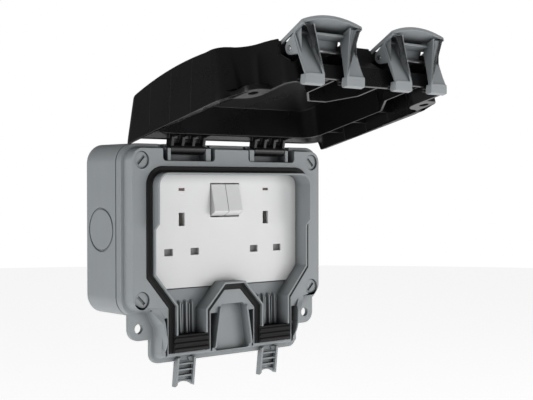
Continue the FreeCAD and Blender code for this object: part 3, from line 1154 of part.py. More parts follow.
def build_latches():
    """Over-centre latches: finger plate, two legs with hooked feet and pivot ears."""
    for name, sign in SIDES:
        x = f"{sign} * channel_centre"
        outer, inner, back = latch_shell(name, x)
        plate = cut("latch_plate_" + name, outer, [inner, back])
        legs = []
        for side in (-1, 1):
            label = f"{name}_{side + 1}"
            wall_at = f"{x} + {side} * (latch_half - latch_wall / 2) - latch_wall / 2"
            web = extrude("leg_wall_" + label, "side", wall_at, "latch_wall", [
                ("latch_pivot_depth - 23.0", "-latch_pivot_drop - 5.4"),
                ("latch_pivot_depth - 19.2", "-latch_pivot_drop - 10.2"),
                ("latch_pivot_depth + 11.0", "-latch_pivot_drop - 15"),
                ("latch_pivot_depth + 8.0", "-latch_pivot_drop - 6.6"),
                ("latch_pivot_depth + latch_ear - 0.1", "-latch_pivot_drop", "latch_ear", 1),
                ("latch_pivot_depth - latch_ear + 0.1", "-latch_pivot_drop"),
                ("latch_pivot_depth - 5.5", "-latch_pivot_drop - 6.2"),
                ("latch_pivot_depth - 19.8", "-latch_pivot_drop - 9.0")])
            near = f"{x} + {side} * (latch_half - 0.1)"
            sole = extrude("leg_sole_" + label, "plan", "-latch_pivot_drop - 18", "30", [
                (near, "latch_pivot_depth - 23.2"),
                (f"{x} + {side} * 9.5", "latch_pivot_depth - 23.2"),
                (f"{x} + {side} * 8.9", "latch_pivot_depth - 18"),
                (f"{x} + {side} * 15.4", "latch_pivot_depth + 9.5"),
                (near, "latch_pivot_depth + 9.5")])
            strip = extrude("leg_strip_" + label, "side", f"{x} - latch_half", "2 * latch_half", [
                ("latch_pivot_depth - 23.0", "-latch_pivot_drop - 5.4"),
                ("latch_pivot_depth - 19.2", "-latch_pivot_drop - 10.2"),
                ("latch_pivot_depth + 11.0", "-latch_pivot_drop - 15"),
                ("latch_pivot_depth + 11.0", "-latch_pivot_drop - 13"),
                ("latch_pivot_depth - 18.4", "-latch_pivot_drop - 8.4"),
                ("latch_pivot_depth - 21.4", "-latch_pivot_drop - 4.9")])
            tooth = extrude("leg_tooth_" + label, "side",
                            f"{x} + {side} * 11.3 - 1.6", "3.2", [
                                ("latch_pivot_depth - 25.8", "-latch_pivot_drop - 3.4"),
                                ("latch_pivot_depth - 24.0", "-latch_pivot_drop - 8"),
                                ("latch_pivot_depth - 20.2", "-latch_pivot_drop - 8.8"),
                                ("latch_pivot_depth - 24.2", "-latch_pivot_drop - 3.4")])
            fin = extrude("leg_fin_" + label, "side", f"{x} + {side} * 14.6 - 0.7", "1.4", [
                ("latch_pivot_depth - 8", "-latch_pivot_drop - 11.2"),
                ("latch_pivot_depth + 10.6", "-latch_pivot_drop - 14.4"),
                ("latch_pivot_depth + 8.2", "-latch_pivot_drop - 4.6")])
            legs += [web, common("leg_flange_" + label, [sole, strip]), fin, tooth]
        bridge = block("latch_bridge_" + name, f"{x} - latch_half + 1", f"{x} + latch_half - 1",
                       "latch_pivot_depth + 6.4", "latch_pivot_depth + 8",
                       "-latch_pivot_drop - 9", "-latch_pivot_drop - 1")
        solid = fuse("latch_solid_" + name, [plate, bridge] + legs)
        bore = rod("latch_bore_" + name, "right", "latch_pin + pin_gap", "60", f"{x} - 30",
                   "latch_pivot_depth", "-latch_pivot_drop")
        keep("latch_" + name, open_lid(cut("latch_" + name, solid, [bore])))
        pin = rod("latch_pin_body_" + name, "right", "latch_pin", "2 * latch_half + 0.4",
                  f"{x} - latch_half - 0.2", "latch_pivot_depth", "-latch_pivot_drop")
        keep("latch_pin_" + name, open_lid(group("latch_pin_" + name, [pin])))


def build_hinge_pins():
    """Steel pin through the ears and the knuckle of each hinge."""
    for name, sign in SIDES:
        keep("hinge_pin_" + name, rod("hinge_pin_" + name, "right", "hinge_pin",
                                      f"{pin_length()} - 0.4", f"{pin_start(sign)} + 0.2",
                                      "hinge_depth", "hinge_height"))


def check_and_write():
    """Refuses a failed feature or an unusable shape, then writes one file a piece."""
    doc.recompute()
    for item in doc.Objects:
        if "Invalid" in item.State or "Error" in item.State:
            raise RuntimeError(f"{item.Label} failed: {item.State}")
    for piece in PIECES:
        if piece.Shape.isNull() or not piece.Shape.isValid():
            raise RuntimeError(f"{piece.Label} has no valid shape")
    os.makedirs("parts", exist_ok=True)
    for piece in PIECES:
        piece.Shape.exportStep(f"parts/{piece.Label}.step")
        print(piece.Label, len(piece.Shape.Solids), round(piece.Shape.Volume))


fill_sheet()
build_rear_box()
build_box_seal()
build_front_frame()
build_lid_seal()
build_glands()
build_guides()
build_plate()
build_base()
build_contacts()
build_shutters()
build_rockers()
build_cover_screws()
build_module_screws()
build_hinge_pins()
build_lid()
build_latches()
check_and_write()
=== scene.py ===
# %% [markdown]
# The object is a weatherproof twin socket: a grey box and front moulding, a white socket plate and a deep
# black lid that stands open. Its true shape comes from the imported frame, one mesh for each part, in metres.
# Everything below dresses those parts: edges that catch the light, springs and screws, and plastic that
# looks like plastic. A scene could also start from an empty file, but then the sizes would have to be
# guessed a second time.

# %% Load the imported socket
import json
import math

import bmesh
import bpy
from mathutils import Matrix, Vector


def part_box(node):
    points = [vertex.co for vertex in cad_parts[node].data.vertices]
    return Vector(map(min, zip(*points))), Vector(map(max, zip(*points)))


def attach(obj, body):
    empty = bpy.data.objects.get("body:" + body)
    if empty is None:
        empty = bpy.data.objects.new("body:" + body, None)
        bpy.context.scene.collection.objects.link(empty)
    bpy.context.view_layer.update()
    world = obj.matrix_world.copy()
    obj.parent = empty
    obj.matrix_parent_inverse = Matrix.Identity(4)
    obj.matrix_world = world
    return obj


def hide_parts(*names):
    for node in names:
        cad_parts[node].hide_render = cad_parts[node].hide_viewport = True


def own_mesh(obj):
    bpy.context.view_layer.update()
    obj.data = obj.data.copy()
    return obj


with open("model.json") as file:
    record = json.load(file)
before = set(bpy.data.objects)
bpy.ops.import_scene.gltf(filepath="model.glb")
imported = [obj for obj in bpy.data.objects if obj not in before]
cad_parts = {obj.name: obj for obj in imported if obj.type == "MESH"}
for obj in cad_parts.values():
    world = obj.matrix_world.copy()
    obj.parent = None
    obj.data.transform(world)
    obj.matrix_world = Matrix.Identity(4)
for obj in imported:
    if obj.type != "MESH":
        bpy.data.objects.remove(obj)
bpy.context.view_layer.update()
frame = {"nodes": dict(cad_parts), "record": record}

MM = 0.001
NODES = frame["nodes"]
BODY_OF = {node: body for body, nodes in frame["record"]["behaviour"]["bodies"].items() for node in nodes}

# %% [markdown]
# The camera stands to the left of the socket, level with its middle, and looks at it with a long lens. Its
# place and direction were worked out from the six pin apertures, whose spacing is a standard. The turn is
# built from three plain directions, ahead, right and up, because a matrix of them can't be read in the wrong
# order as three angles can.

# %% Camera
CAMERA_PLACE = Vector((-0.4924, -0.6467, 0.0298))
CAMERA_YAW = math.radians(41.16)
CAMERA_PITCH = math.radians(-0.8)
CAMERA_ROLL = math.radians(-0.09)
FOCAL_PIXELS = 1113.4
IMAGE_WIDTH = 533
SENSOR_WIDTH = 36.0


def add_to_scene(item):
    bpy.context.scene.collection.objects.link(item)
    return item


def make_camera():
    lens = bpy.data.cameras.new("camera")
    lens.sensor_width = SENSOR_WIDTH
    lens.lens = FOCAL_PIXELS * SENSOR_WIDTH / IMAGE_WIDTH
    lens.clip_start = 0.05
    lens.clip_end = 20
    level = math.cos(CAMERA_PITCH)
    ahead = Vector((math.sin(CAMERA_YAW) * level, math.cos(CAMERA_YAW) * level, math.sin(CAMERA_PITCH)))
    right = Vector((math.cos(CAMERA_YAW), -math.sin(CAMERA_YAW), 0))
    up = right.cross(ahead)
    side = math.cos(CAMERA_ROLL) * right + math.sin(CAMERA_ROLL) * up
    head = math.cos(CAMERA_ROLL) * up - math.sin(CAMERA_ROLL) * right
    camera = add_to_scene(bpy.data.objects.new("camera", lens))
    turn = Matrix((side, head, -ahead)).transposed().to_4x4()
    camera.matrix_world = Matrix.Translation(CAMERA_PLACE) @ turn
    bpy.context.scene.camera = camera
    print("camera lens in mm:", round(lens.lens, 1))


make_camera()

# %% [markdown]
# The light is that of a small product studio: two wide soft lamps in front, low and to the right, a weaker
# one on the left, and only a breath of light from above, so that faces that look up stay dark and the near
# side of the box stays a shade darker than its front. A sun lamp would be simpler, but its shadows are hard.

# %% Lamps
LAMPS = {"front": ((-0.4, -1.5, -0.4), 11, (1.4, 1.2)),
         "right": ((1.3, -1.1, -0.4), 17, (1.0, 1.4)),
         "left": ((-1.6, 0.0, 0.0), 7, (0.8, 0.8)),
         "above": ((0.1, -0.5, 1.6), 2, (1.0, 0.5))}
LAMP_AIM = Vector((0, -0.06, 0.01))


def make_lamp(name, place, power, size):
    light = bpy.data.lights.new(name, "AREA")
    light.shape = "RECTANGLE"
    light.energy = power
    light.size, light.size_y = size
    lamp = add_to_scene(bpy.data.objects.new(name, light))
    lamp.location = place
    lamp.rotation_euler = (LAMP_AIM - lamp.location).to_track_quat("-Z", "Y").to_euler()


for lamp_name, (lamp_place, lamp_power, lamp_size) in LAMPS.items():
    make_lamp(lamp_name + "_lamp", lamp_place, lamp_power, lamp_size)
print("lamps:", ", ".join(LAMPS))

# %% [markdown]
# Plastic is never one flat colour: it has a fine grain from the mould, broad faint clouding, and a gloss that
# changes a little from place to place. Each finish is a sum of noises. Sums are easier to read as Python than
# as a web of nodes, so a small class lets the operators + - * build the Math nodes. Some finishes also get
# painted shade in their corners: a surface that sees less than CORNER_OPENNESS of its surroundings within 9 mm
# is painted as dark as it gets.

# %% Shader sums
PAINTED_SHADE_REACH = 9 * MM
CORNER_OPENNESS = 0.2
UNSHADED_OPENNESS = 0.9


class Wire:
    """An output of a material's node, with which Python's operators do sums."""

    def __init__(self, finish, socket):
        self.finish = finish
        self.socket = socket

    def maths(self, operation, first, second):
        return self.finish.add("ShaderNodeMath", {"operation": operation}, {0: first, 1: second})

    def __add__(self, other):
        return self.maths("ADD", self, other)

    def __sub__(self, other):
        return self.maths("SUBTRACT", self, other)

    def __rsub__(self, other):
        return self.maths("SUBTRACT", other, self)

    def __mul__(self, other):
        return self.maths("MULTIPLY", self, other)

    __radd__ = __add__
    __rmul__ = __mul__


class Finish:
    """A material that is being made, with the few nodes that moulded parts need."""

    def __init__(self, name, **constants):
        self.material = bpy.data.materials.new(name)
        self.material.use_nodes = True
        self.tree = self.material.node_tree
        self.shader = self.tree.nodes["Principled BSDF"]
        for socket, number in constants.items():
            self.shader.inputs[socket.replace("_", " ")].default_value = number

    def add(self, kind, settings=None, values=None, output=0):
        node = self.tree.nodes.new(kind)
        for setting, choice in (settings or {}).items():
            setattr(node, setting, choice)
        for socket, value in (values or {}).items():
            self.feed(node.inputs[socket], value)
        return Wire(self, node.outputs[output])

    def feed(self, socket, value):
        if isinstance(value, Wire):
            self.tree.links.new(value.socket, socket)
        else:
            socket.default_value = value

    def noise(self, size, detail=2.0, stretch=(1, 1, 1)):
        """Noise whose lumps are about size metres across, and longer where stretch is under 1."""
        place = self.add("ShaderNodeTexCoord", output="Object")
        place = self.add("ShaderNodeMapping", {}, {"Vector": place, "Scale": stretch})
        return self.add("ShaderNodeTexNoise", {}, {"Vector": place, "Scale": 1 / size, "Detail": detail})

    def blend(self, mask, first, second):
        """First where mask is 0 and second where it is 1. Each is a colour or a wire."""
        first, second = (shade if isinstance(shade, Wire) else (*shade, 1) for shade in (first, second))
        return self.add("ShaderNodeMix", {"data_type": "RGBA"}, {0: mask, 6: first, 7: second}, 2)

    def tint(self, mask, dark, light, painted_shade=None):
        """The base colour goes from dark to light as mask goes from 0 to 1, and is painted darker in deep
        corners: painted shade.
        """
        colour = self.blend(mask, dark, light)
        if painted_shade:
            # Painted shade: ambient occlusion darkens the base colour in corners and recesses, where shade
            # falls.
            openness = self.add("ShaderNodeAmbientOcclusion", {"samples": 12}, {"Distance": PAINTED_SHADE_REACH}, "AO")
            limits = {1: CORNER_OPENNESS, 2: UNSHADED_OPENNESS}
            openness = self.add("ShaderNodeMapRange", {}, {0: openness, **limits})
            colour = self.blend(openness, painted_shade, colour)
        self.feed(self.shader.inputs["Base Color"], colour)

    def relief(self, height, depth):
        """The surface rises by up to depth metres as height goes from 0 to 1."""
        bump = self.add("ShaderNodeBump", {}, {"Height": height, "Distance": depth, "Strength": 1.0})
        self.feed(self.shader.inputs["Normal"], bump)

    def roughness(self, value):
        self.feed(self.shader.inputs["Roughness"], value)


FINISHES = {}


def keep_finish(slot, material):
    FINISHES[slot] = material
    print("finish", material.name, "nodes:", len(material.node_tree.nodes))


# %% [markdown]
# The box, the front moulding, the latches and the guides are one grey thermoplastic with a satin face. The
# mould was spark eroded, which leaves a grain of about a third of a millimetre. Under a soft lamp the grain
# spreads the shine, and broad clouding keeps large faces from looking painted.

# %% Grey moulding
def make_grey():
    grey = Finish("grey_moulding", IOR=1.46)
    grain = grey.noise(0.35 * MM, 3)
    cloud = grey.noise(40 * MM, 3)
    flow = grey.noise(7 * MM, 2, (1, 1, 0.3))
    mask = 0.45 * cloud + 0.3 * grain + 0.25 * flow
    # The third colour is painted shade, which ambient occlusion lays into corners and recesses.
    grey.tint(mask, (0.232, 0.252, 0.262), (0.312, 0.334, 0.346), (0.045, 0.05, 0.053))
    grey.roughness(0.34 + 0.14 * grain + 0.1 * cloud)
    grey.relief(0.7 * grain + 0.3 * flow, 0.02 * MM)
    return grey.material


keep_finish("grey_box", make_grey())

# %% [markdown]
# The lid is polished black. It shows soft reflections that waver where the skin cooled unevenly, so its bump
# is wide and shallow and its grain is almost nothing. Faint haze keeps the gloss from being a mirror. Three
# fine lines slant across each side. They are a quarter of a millimetre deep, so bump does for them what
# carving would do, and their base colour is painted a little lighter: a painted highlight of the light
# that the grooves catch. A point's height is worked out as if the lid were shut, and leans with the lines.
# A ping-pong of that height gives the distance to the nearest line of an even row.

# %% Black lid
LID_ANGLE = math.radians(103.65)
HINGE_Y, HINGE_Z = -41.5 * MM, 54.0 * MM
LINE_SLOPE = 0.13
LINE_SPACING = 22 * MM
TOP_LINE = 21.9 * MM
LINES_REACH = 28 * MM
LID_SIDE = 79 * MM


def lid_lines(black):
    """1 on three fine slanting lines engraved in each side of the lid, and 0 elsewhere."""
    spot = black.add("ShaderNodeSeparateXYZ", {}, {0: black.add("ShaderNodeTexCoord", output="Object")}, "X")
    across = spot.maths("ABSOLUTE", spot, 0)
    parts = spot.socket.node.outputs
    y, z = (Wire(black, parts[axis]) for axis in "YZ")
    up_y, up_z = math.sin(LID_ANGLE), math.cos(LID_ANGLE)
    out_y, out_z = -math.cos(LID_ANGLE), math.sin(LID_ANGLE)
    height = (up_y + LINE_SLOPE * out_y) * (y - HINGE_Y) + (up_z + LINE_SLOPE * out_z) * (z - HINGE_Z)
    height = height + HINGE_Z
    to_line = height.maths("PINGPONG", height - TOP_LINE, LINE_SPACING / 2)
    line = black.add("ShaderNodeMapRange", {}, {0: to_line, 1: 0.12 * MM, 2: 0.4 * MM, 3: 1.0, 4: 0.0})
    near = height.maths("LESS_THAN", height.maths("ABSOLUTE", height, 0), LINES_REACH)
    return line * near * across.maths("GREATER_THAN", across, LID_SIDE)


def make_black():
    black = Finish("black_moulding", IOR=1.49, Specular_IOR_Level=0.4)
    waver = black.noise(9 * MM, 2)
    haze = black.noise(28 * MM, 4)
    dust = black.noise(0.5 * MM, 3)
    line = lid_lines(black)
    # The lines push the base colour to its lighter end, a painted highlight along the grooves.
    black.tint(0.6 * haze + 0.4 * dust + 0.8 * line, (0.003, 0.003, 0.0037), (0.008, 0.0078, 0.0088))
    black.roughness(0.2 + 0.12 * haze + 0.06 * dust)
    black.relief(0.9 * waver + 0.1 * dust - 5.0 * line, 0.05 * MM)
    return black.material


keep_finish("black_lid", make_black())

# %% [markdown]
# The seals and the glands are rubber: matt, a little grey where dust has settled, with a fine open texture.

# %% Rubber
def make_rubber():
    rubber = Finish("seal_rubber", IOR=1.5, Specular_IOR_Level=0.3)
    pores = rubber.noise(0.4 * MM, 4)
    bloom = rubber.noise(12 * MM, 3)
    rubber.tint(0.5 * pores + 0.5 * bloom, (0.004, 0.004, 0.0045), (0.013, 0.013, 0.0135))
    rubber.roughness(0.5 + 0.3 * pores)
    rubber.relief(pores, 0.03 * MM)
    return rubber.material


keep_finish("black_rubber", make_rubber())

# %% [markdown]
# The plate and the rockers are white urea, pressed hard in a polished tool. It is a little warm, dense and
# smooth, with a slight orange-peel that only shows in the highlights.

# %% White plate
def make_white():
    white = Finish("white_urea", IOR=1.53)
    peel = white.noise(2.2 * MM, 2)
    cloud = white.noise(30 * MM, 3)
    fine = white.noise(0.3 * MM, 2)
    # The third colour is painted shade, which ambient occlusion lays into corners and recesses.
    white.tint(0.7 * cloud + 0.3 * fine, (0.70, 0.70, 0.70), (0.77, 0.77, 0.77), (0.30, 0.30, 0.30))
    white.roughness(0.26 + 0.12 * cloud + 0.05 * fine)
    white.relief(0.8 * peel + 0.2 * fine, 0.012 * MM)
    return white.material


keep_finish("white_plate", make_white())

# %% [markdown]
# Behind the plate the housing is a cheaper white moulding, duller and slightly cream, with a coarser grain.
# The shutters are the same sort of plastic in grey, a little lighter in random clouds.

# %% Housing and shutters
def make_dull(name, dark, light, gloss):
    dull = Finish(name, IOR=1.48)
    grain = dull.noise(0.5 * MM, 3)
    cloud = dull.noise(15 * MM, 3)
    dull.tint(0.5 * grain + 0.5 * cloud, dark, light)
    dull.roughness(gloss + 0.2 * grain)
    dull.relief(grain, 0.025 * MM)
    return dull.material


keep_finish("inner_white", make_dull("housing_moulding", (0.66, 0.65, 0.61), (0.77, 0.76, 0.72), 0.42))
keep_finish("shutter_grey", make_dull("shutter_moulding", (0.16, 0.16, 0.165), (0.25, 0.25, 0.255), 0.38))

# %% [markdown]
# The indicator windows are clear red plastic over an unlit lamp, so they look deep brown-red. Fine ribs on
# the back of the window show as bands across it.

# %% Red windows
def make_red():
    red = Finish("indicator_window", IOR=1.49)
    ribs = red.add("ShaderNodeTexWave", {"bands_direction": "X"},
                   {"Vector": red.add("ShaderNodeTexCoord", output="Object"), "Scale": 1 / (3 * MM)})
    depth = red.noise(1.2 * MM, 2)
    red.tint(0.6 * ribs + 0.4 * depth, (0.02, 0.008, 0.007), (0.12, 0.03, 0.025))
    red.roughness(0.14 + 0.1 * depth)
    red.relief(ribs, 0.05 * MM)
    return red.material


keep_finish("neon", make_red())

# %% [markdown]
# Brass contacts and steel pins are drawn or rolled, so their polish runs in fine streaks along the metal.
# Brass darkens in blotches where it has been handled. Stretched noise gives the streaks and round noise the
# blotches.

# %% Metals
def make_metal(name, dark, light, streak, gloss):
    metal = Finish(name, Metallic=1.0)
    lines = metal.noise(0.25 * MM, 3, streak)
    stain = metal.noise(5 * MM, 3)
    metal.tint(0.35 * lines + 0.65 * stain, dark, light)
    metal.roughness(gloss + 0.16 * lines + 0.1 * stain)
    metal.relief(lines, 0.01 * MM)
    return metal.material


keep_finish("brass", make_metal("rolled_brass", (0.56, 0.38, 0.15), (0.80, 0.60, 0.28), (0.06, 1, 1), 0.2))
keep_finish("steel", make_metal("plated_steel", (0.50, 0.50, 0.51), (0.66, 0.66, 0.67), (0.08, 1, 1), 0.22))

# %% [markdown]
# The floor is a wide pale disc well below the socket, which hangs on its wall fixings. A disc has no corner
# to come into a picture from the side. Its finish is a faint mottle, so that it reads as paper and not as a
# void.

# %% Floor
FLOOR_HEIGHT = -0.32
FLOOR_RADIUS = 4.0
FLOOR_SIDES = 96


def make_floor():
    paper = Finish("pale_paper", IOR=1.4, Emission_Color=(1, 1, 1, 1), Emission_Strength=0.75)
    mottle = paper.noise(60 * MM, 3)
    paper.tint(mottle, (0.93, 0.93, 0.93), (0.96, 0.96, 0.96))
    paper.roughness(0.85 + 0.1 * mottle)
    shape = bmesh.new()
    bmesh.ops.create_circle(shape, cap_ends=True, segments=FLOOR_SIDES, radius=FLOOR_RADIUS)
    bmesh.ops.translate(shape, verts=shape.verts, vec=(0, 0, FLOOR_HEIGHT))
    mesh = bpy.data.meshes.new("floor")
    shape.to_mesh(mesh)
    shape.free()
    mesh.materials.append(paper.material)
    floor = add_to_scene(bpy.data.objects.new("floor", mesh))
    print("floor radius in m:", FLOOR_RADIUS)


make_floor()

# %% [markdown]
# Gloss shows what stands around it. The picture's background is white, and a black lid that reflected so much
# white would look grey, so the surroundings are dim for reflections. The light that they give to everything
# else is a little stronger from below, as from a pale floor. Light Path tells these three uses apart.

# %% Surroundings
BACKGROUND = 1.0
FILL = 0.36
FILL_ABOVE = 0.4 * FILL
SHEEN = 0.12


def make_surroundings():
    """White for the camera, dim for gloss, and brighter below than above for everything else."""
    world = bpy.data.worlds.new("studio")
    world.use_nodes = True
    tree = world.node_tree
    ray = tree.nodes.new("ShaderNodeLightPath")
    shades = [tree.nodes["Background"]] + [tree.nodes.new("ShaderNodeBackground") for copy in range(2)]
    for shade, strength in zip(shades, (FILL, SHEEN, BACKGROUND)):
        shade.inputs["Color"].default_value = (1, 1, 1, 1)
        shade.inputs["Strength"].default_value = strength
    way = tree.nodes.new("ShaderNodeSeparateXYZ")
    fall = tree.nodes.new("ShaderNodeMapRange")
    for number, value in ((1, -0.5), (2, 0.8), (3, FILL), (4, FILL_ABOVE)):
        fall.inputs[number].default_value = value
    tree.links.new(tree.nodes.new("ShaderNodeTexCoord").outputs["Generated"], way.inputs[0])
    tree.links.new(way.outputs["Z"], fall.inputs[0])
    tree.links.new(fall.outputs[0], shades[0].inputs["Strength"])
    below = shades[0].outputs[0]
    for sort, shade in (("Is Glossy Ray", shades[1]), ("Is Camera Ray", shades[2])):
        mix = tree.nodes.new("ShaderNodeMixShader")
        tree.links.new(ray.outputs[sort], mix.inputs[0])
        tree.links.new(below, mix.inputs[1])
        tree.links.new(shade.outputs[0], mix.inputs[2])
        below = mix.outputs[0]
    tree.links.new(below, tree.nodes["World Output"].inputs["Surface"])
    bpy.context.scene.world = world
    print("surroundings nodes:", len(tree.nodes))


make_surroundings()
bpy.context.scene.view_settings.view_transform = "Standard"

# %% [markdown]
# Some forms are drawn here, because they are small or curl over the imported shape: the latches' hollow
# legs, the fins between the cable channels, the lips of the glands. Each starts as a prism between two
# outlines. A point is given the way a maker measures this socket: across, out from the wall, and up, in
# millimetres.

# %% Prisms
def place(across, out, up):
    return Vector((across, -out, up)) * MM


def prism(shape, one_end, other_end):
    """A closed solid between two outlines of (across, out, up) points, added to a bmesh."""
    rings = [[shape.verts.new(place(*point)) for point in end] for end in (one_end, other_end)]
    for ring in rings:
        shape.faces.new(ring)
    for here in range(len(one_end)):
        there = (here + 1) % len(one_end)
        shape.faces.new((rings[0][here], rings[0][there], rings[1][there], rings[1][here]))


def slab(shape, left, right, outline):
    """A prism across the socket with one outline of (out, up) points."""
    prism(shape, *([(across, *point) for point in outline] for across in (left, right)))


def tile(shape, back, front, outline):
    """A prism towards the viewer with one outline of (across, up) points."""
    prism(shape, *([(across, out, up) for across, up in outline] for out in (back, front)))


def drawn_mesh(name, draw):
    shape = bmesh.new()
    draw(shape)
    bmesh.ops.recalc_face_normals(shape, faces=shape.faces)
    mesh = bpy.data.meshes.new(name)
    shape.to_mesh(mesh)
    shape.free()
    return mesh

# %% [markdown]
# A moulded edge is never perfectly sharp, and the thin line of light along it is what makes plastic look
# real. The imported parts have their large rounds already, so each visible part gets a copy whose remaining
# sharp edges are rounded by a fraction of a millimetre. The copy's loose triangles are merged and its flat
# faces joined first. A Bevel modifier rounds by weight here, so that an edge next to a narrow step is rounded
# less than one with room beside it.

# %% Soft-edged copies
SHARP_ANGLE = math.radians(36)
FLAT_ANGLE = math.radians(0.4)
SHADE_ANGLE = math.radians(50)
MERGE_DISTANCE = 0.001 * MM
SHARE_OF_ROOM = 0.42
ALONG = 0.8


def room_beside(edge):
    """The shortest edge that leaves either end of this one at an angle."""
    along = (edge.verts[1].co - edge.verts[0].co).normalized()
    room = 1.0
    for corner in edge.verts:
        for other in corner.link_edges:
            if other is not edge:
                across = (other.verts[1].co - other.verts[0].co).normalized()
                if abs(across.dot(along)) < ALONG:
                    room = min(room, other.calc_length())
    return room


def cleaned(mesh, width=None):
    """Merge the mesh's points and flat faces, and weigh its sharp edges if they are to be rounded."""
    shape = bmesh.new()
    shape.from_mesh(mesh)
    bmesh.ops.remove_doubles(shape, verts=shape.verts, dist=MERGE_DISTANCE)
    bmesh.ops.dissolve_limit(shape, angle_limit=FLAT_ANGLE, verts=shape.verts, edges=shape.edges)
    if width:
        weight = shape.edges.layers.float.new("bevel_weight_edge")
        for edge in shape.edges:
            if len(edge.link_faces) == 2 and edge.calc_face_angle() > SHARP_ANGLE:
                edge[weight] = min(1.0, SHARE_OF_ROOM * room_beside(edge) / width)
    shape.to_mesh(mesh)
    shape.free()
    return mesh


def baked(piece):
    """The piece's mesh with its modifiers applied, and the modifiers gone."""
    scene_now = bpy.context.evaluated_depsgraph_get()
    mesh = bpy.data.meshes.new_from_object(piece.evaluated_get(scene_now))
    piece.modifiers.clear()
    piece.data = mesh
    return mesh


def round_edges(piece, width):
    cleaned(piece.data, width)
    rounder = piece.modifiers.new("rounded_edges", "BEVEL")
    rounder.limit_method = "WEIGHT"
    rounder.width = width
    rounder.segments = 2
    rounder.use_clamp_overlap = False
    baked(piece)


def carve(piece, draw):
    """Take what draw draws out of the piece."""
    knife = add_to_scene(bpy.data.objects.new("knife", drawn_mesh("knife", draw)))
    cutter = piece.modifiers.new("carving", "BOOLEAN")
    cutter.operation = "DIFFERENCE"
    cutter.solver = "EXACT"
    cutter.use_self = True
    cutter.object = knife
    baked(piece)
    bpy.data.objects.remove(knife)


def finish_piece(piece, slot, body, replaced=()):
    piece.data.materials.clear()
    piece.data.materials.append(FINISHES[slot])
    piece.data.shade_smooth()
    piece.data.set_sharp_from_angle(angle=SHADE_ANGLE)
    evener = piece.modifiers.new("even_shading", "WEIGHTED_NORMAL")
    evener.keep_sharp = True
    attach(piece, body)
    if replaced:
        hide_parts(*replaced)
    print(piece.name, "faces:", len(piece.data.polygons))


def soften(node, width, carving=None):
    slot = NODES[node].data.materials[0].name
    mesh = NODES[node].data.copy()
    if "custom_normal" in mesh.attributes:
        mesh.attributes.remove(mesh.attributes["custom_normal"])
    piece = add_to_scene(bpy.data.objects.new(node + "_skin", cleaned(mesh)))
    if carving:
        carve(piece, carving)
    round_edges(piece, width * MM)
    finish_piece(piece, slot, BODY_OF[node], [node])


def add_piece(name, slot, body, width, draw, replaced=()):
    """A new piece that draw draws, with its edges rounded by width millimetres."""
    piece = add_to_scene(bpy.data.objects.new(name, drawn_mesh(name, draw)))
    round_edges(piece, width * MM)
    finish_piece(piece, slot, body, replaced)


EDGE_ROUNDS = {"rear_box": 0.4, "lid": 0.35, "socket_plate": 0.3, "box_seal": 0.2,
               "cable_gland_left": 0.25, "cable_gland_right": 0.25,
               "neon_lens_left": 0.15, "neon_lens_right": 0.15,
               "shutter_left": 0.2, "shutter_right": 0.2, "socket_base": 0.3,
               "cover_screw_top_left": 0.2, "cover_screw_top_right": 0.2, "cover_screw_bottom_left": 0.2,
               "cover_screw_bottom_right": 0.2, "hinge_pin_left": 0.3, "hinge_pin_right": 0.3,
               "latch_pin_left": 0.3, "latch_pin_right": 0.3, "rocker_pin": 0.25, "neutral_bar": 0.15,
               "earth_bar": 0.15, "line_clip_left": 0.15, "line_clip_right": 0.15, "line_bar": 0.15,
               "switch_plunger_left": 0.3, "switch_plunger_right": 0.3}
for node, width in EDGE_ROUNDS.items():
    soften(node, width)

# %% [markdown]
# Two channels for cables run down the front, 75 mm apart, and everything beside them comes in pairs. Between
# the channels stand two fins that guide the latches' feet, with deep pockets outside them. The channels' lips
# stop where the rubber glands lie over them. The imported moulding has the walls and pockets, so its copy is
# only carved a little deeper, and the two fins are one more piece.

# %% Front moulding and its fins
CHANNEL_CENTRES = {"left": -37.5, "right": 37.5}
POCKET_FLOOR = 38.6
FIN_THICKNESS = 1.5


def carve_front(shape):
    for centre in CHANNEL_CENTRES.values():
        turn = 1 if centre > 0 else -1
        for edge in (-1, 1):
            left, right = sorted((centre + edge * 11.4, centre + edge * 13.4))
            slab(shape, left, right, [(47.2, -83.2), (51.2, -83.2), (51.2, -70.9), (47.2, -70.9)])
        for pocket in (((19.1, -58.6), (12.8, -58.6), (16.7, -82.4), (19.1, -82.4)),
                       ((55.9, -59.4), (59.4, -59.4), (58.8, -70.2), (55.9, -70.2))):
            tile(shape, POCKET_FLOOR, 52, [(turn * across, up) for across, up in pocket])


def draw_fins(shape):
    for turn in (-1, 1):
        faces = []
        for thickness in (0, FIN_THICKNESS):
            top, foot = 11.0 + thickness, 15.4 + thickness
            outline = ((top, 41.5, -55.2), (top, 48.6, -54.4), (top + 0.1, 49.4, -55.4),
                       (foot, 49.4, -81.6), (foot, 48.4, -82.6), (foot, 41.5, -82.6))
            faces.append([(turn * across, out, up) for across, out, up in outline])
        prism(shape, *faces)


soften("front_frame", 0.35, carve_front)
soften("lid_seal", 0.3)
add_piece("latch_fins", "grey_box", "housing", 0.4, draw_fins)

# %% [markdown]
# Ribs, lips and grooves here come in even rows. A row could be copied in Python, but Geometry Nodes say it
# better: one drawn shape goes in, a Mesh Line gives the places, and Instance on Points puts a copy on each.
# Realize Instances makes real faces of the copies, because an export only knows real ones.

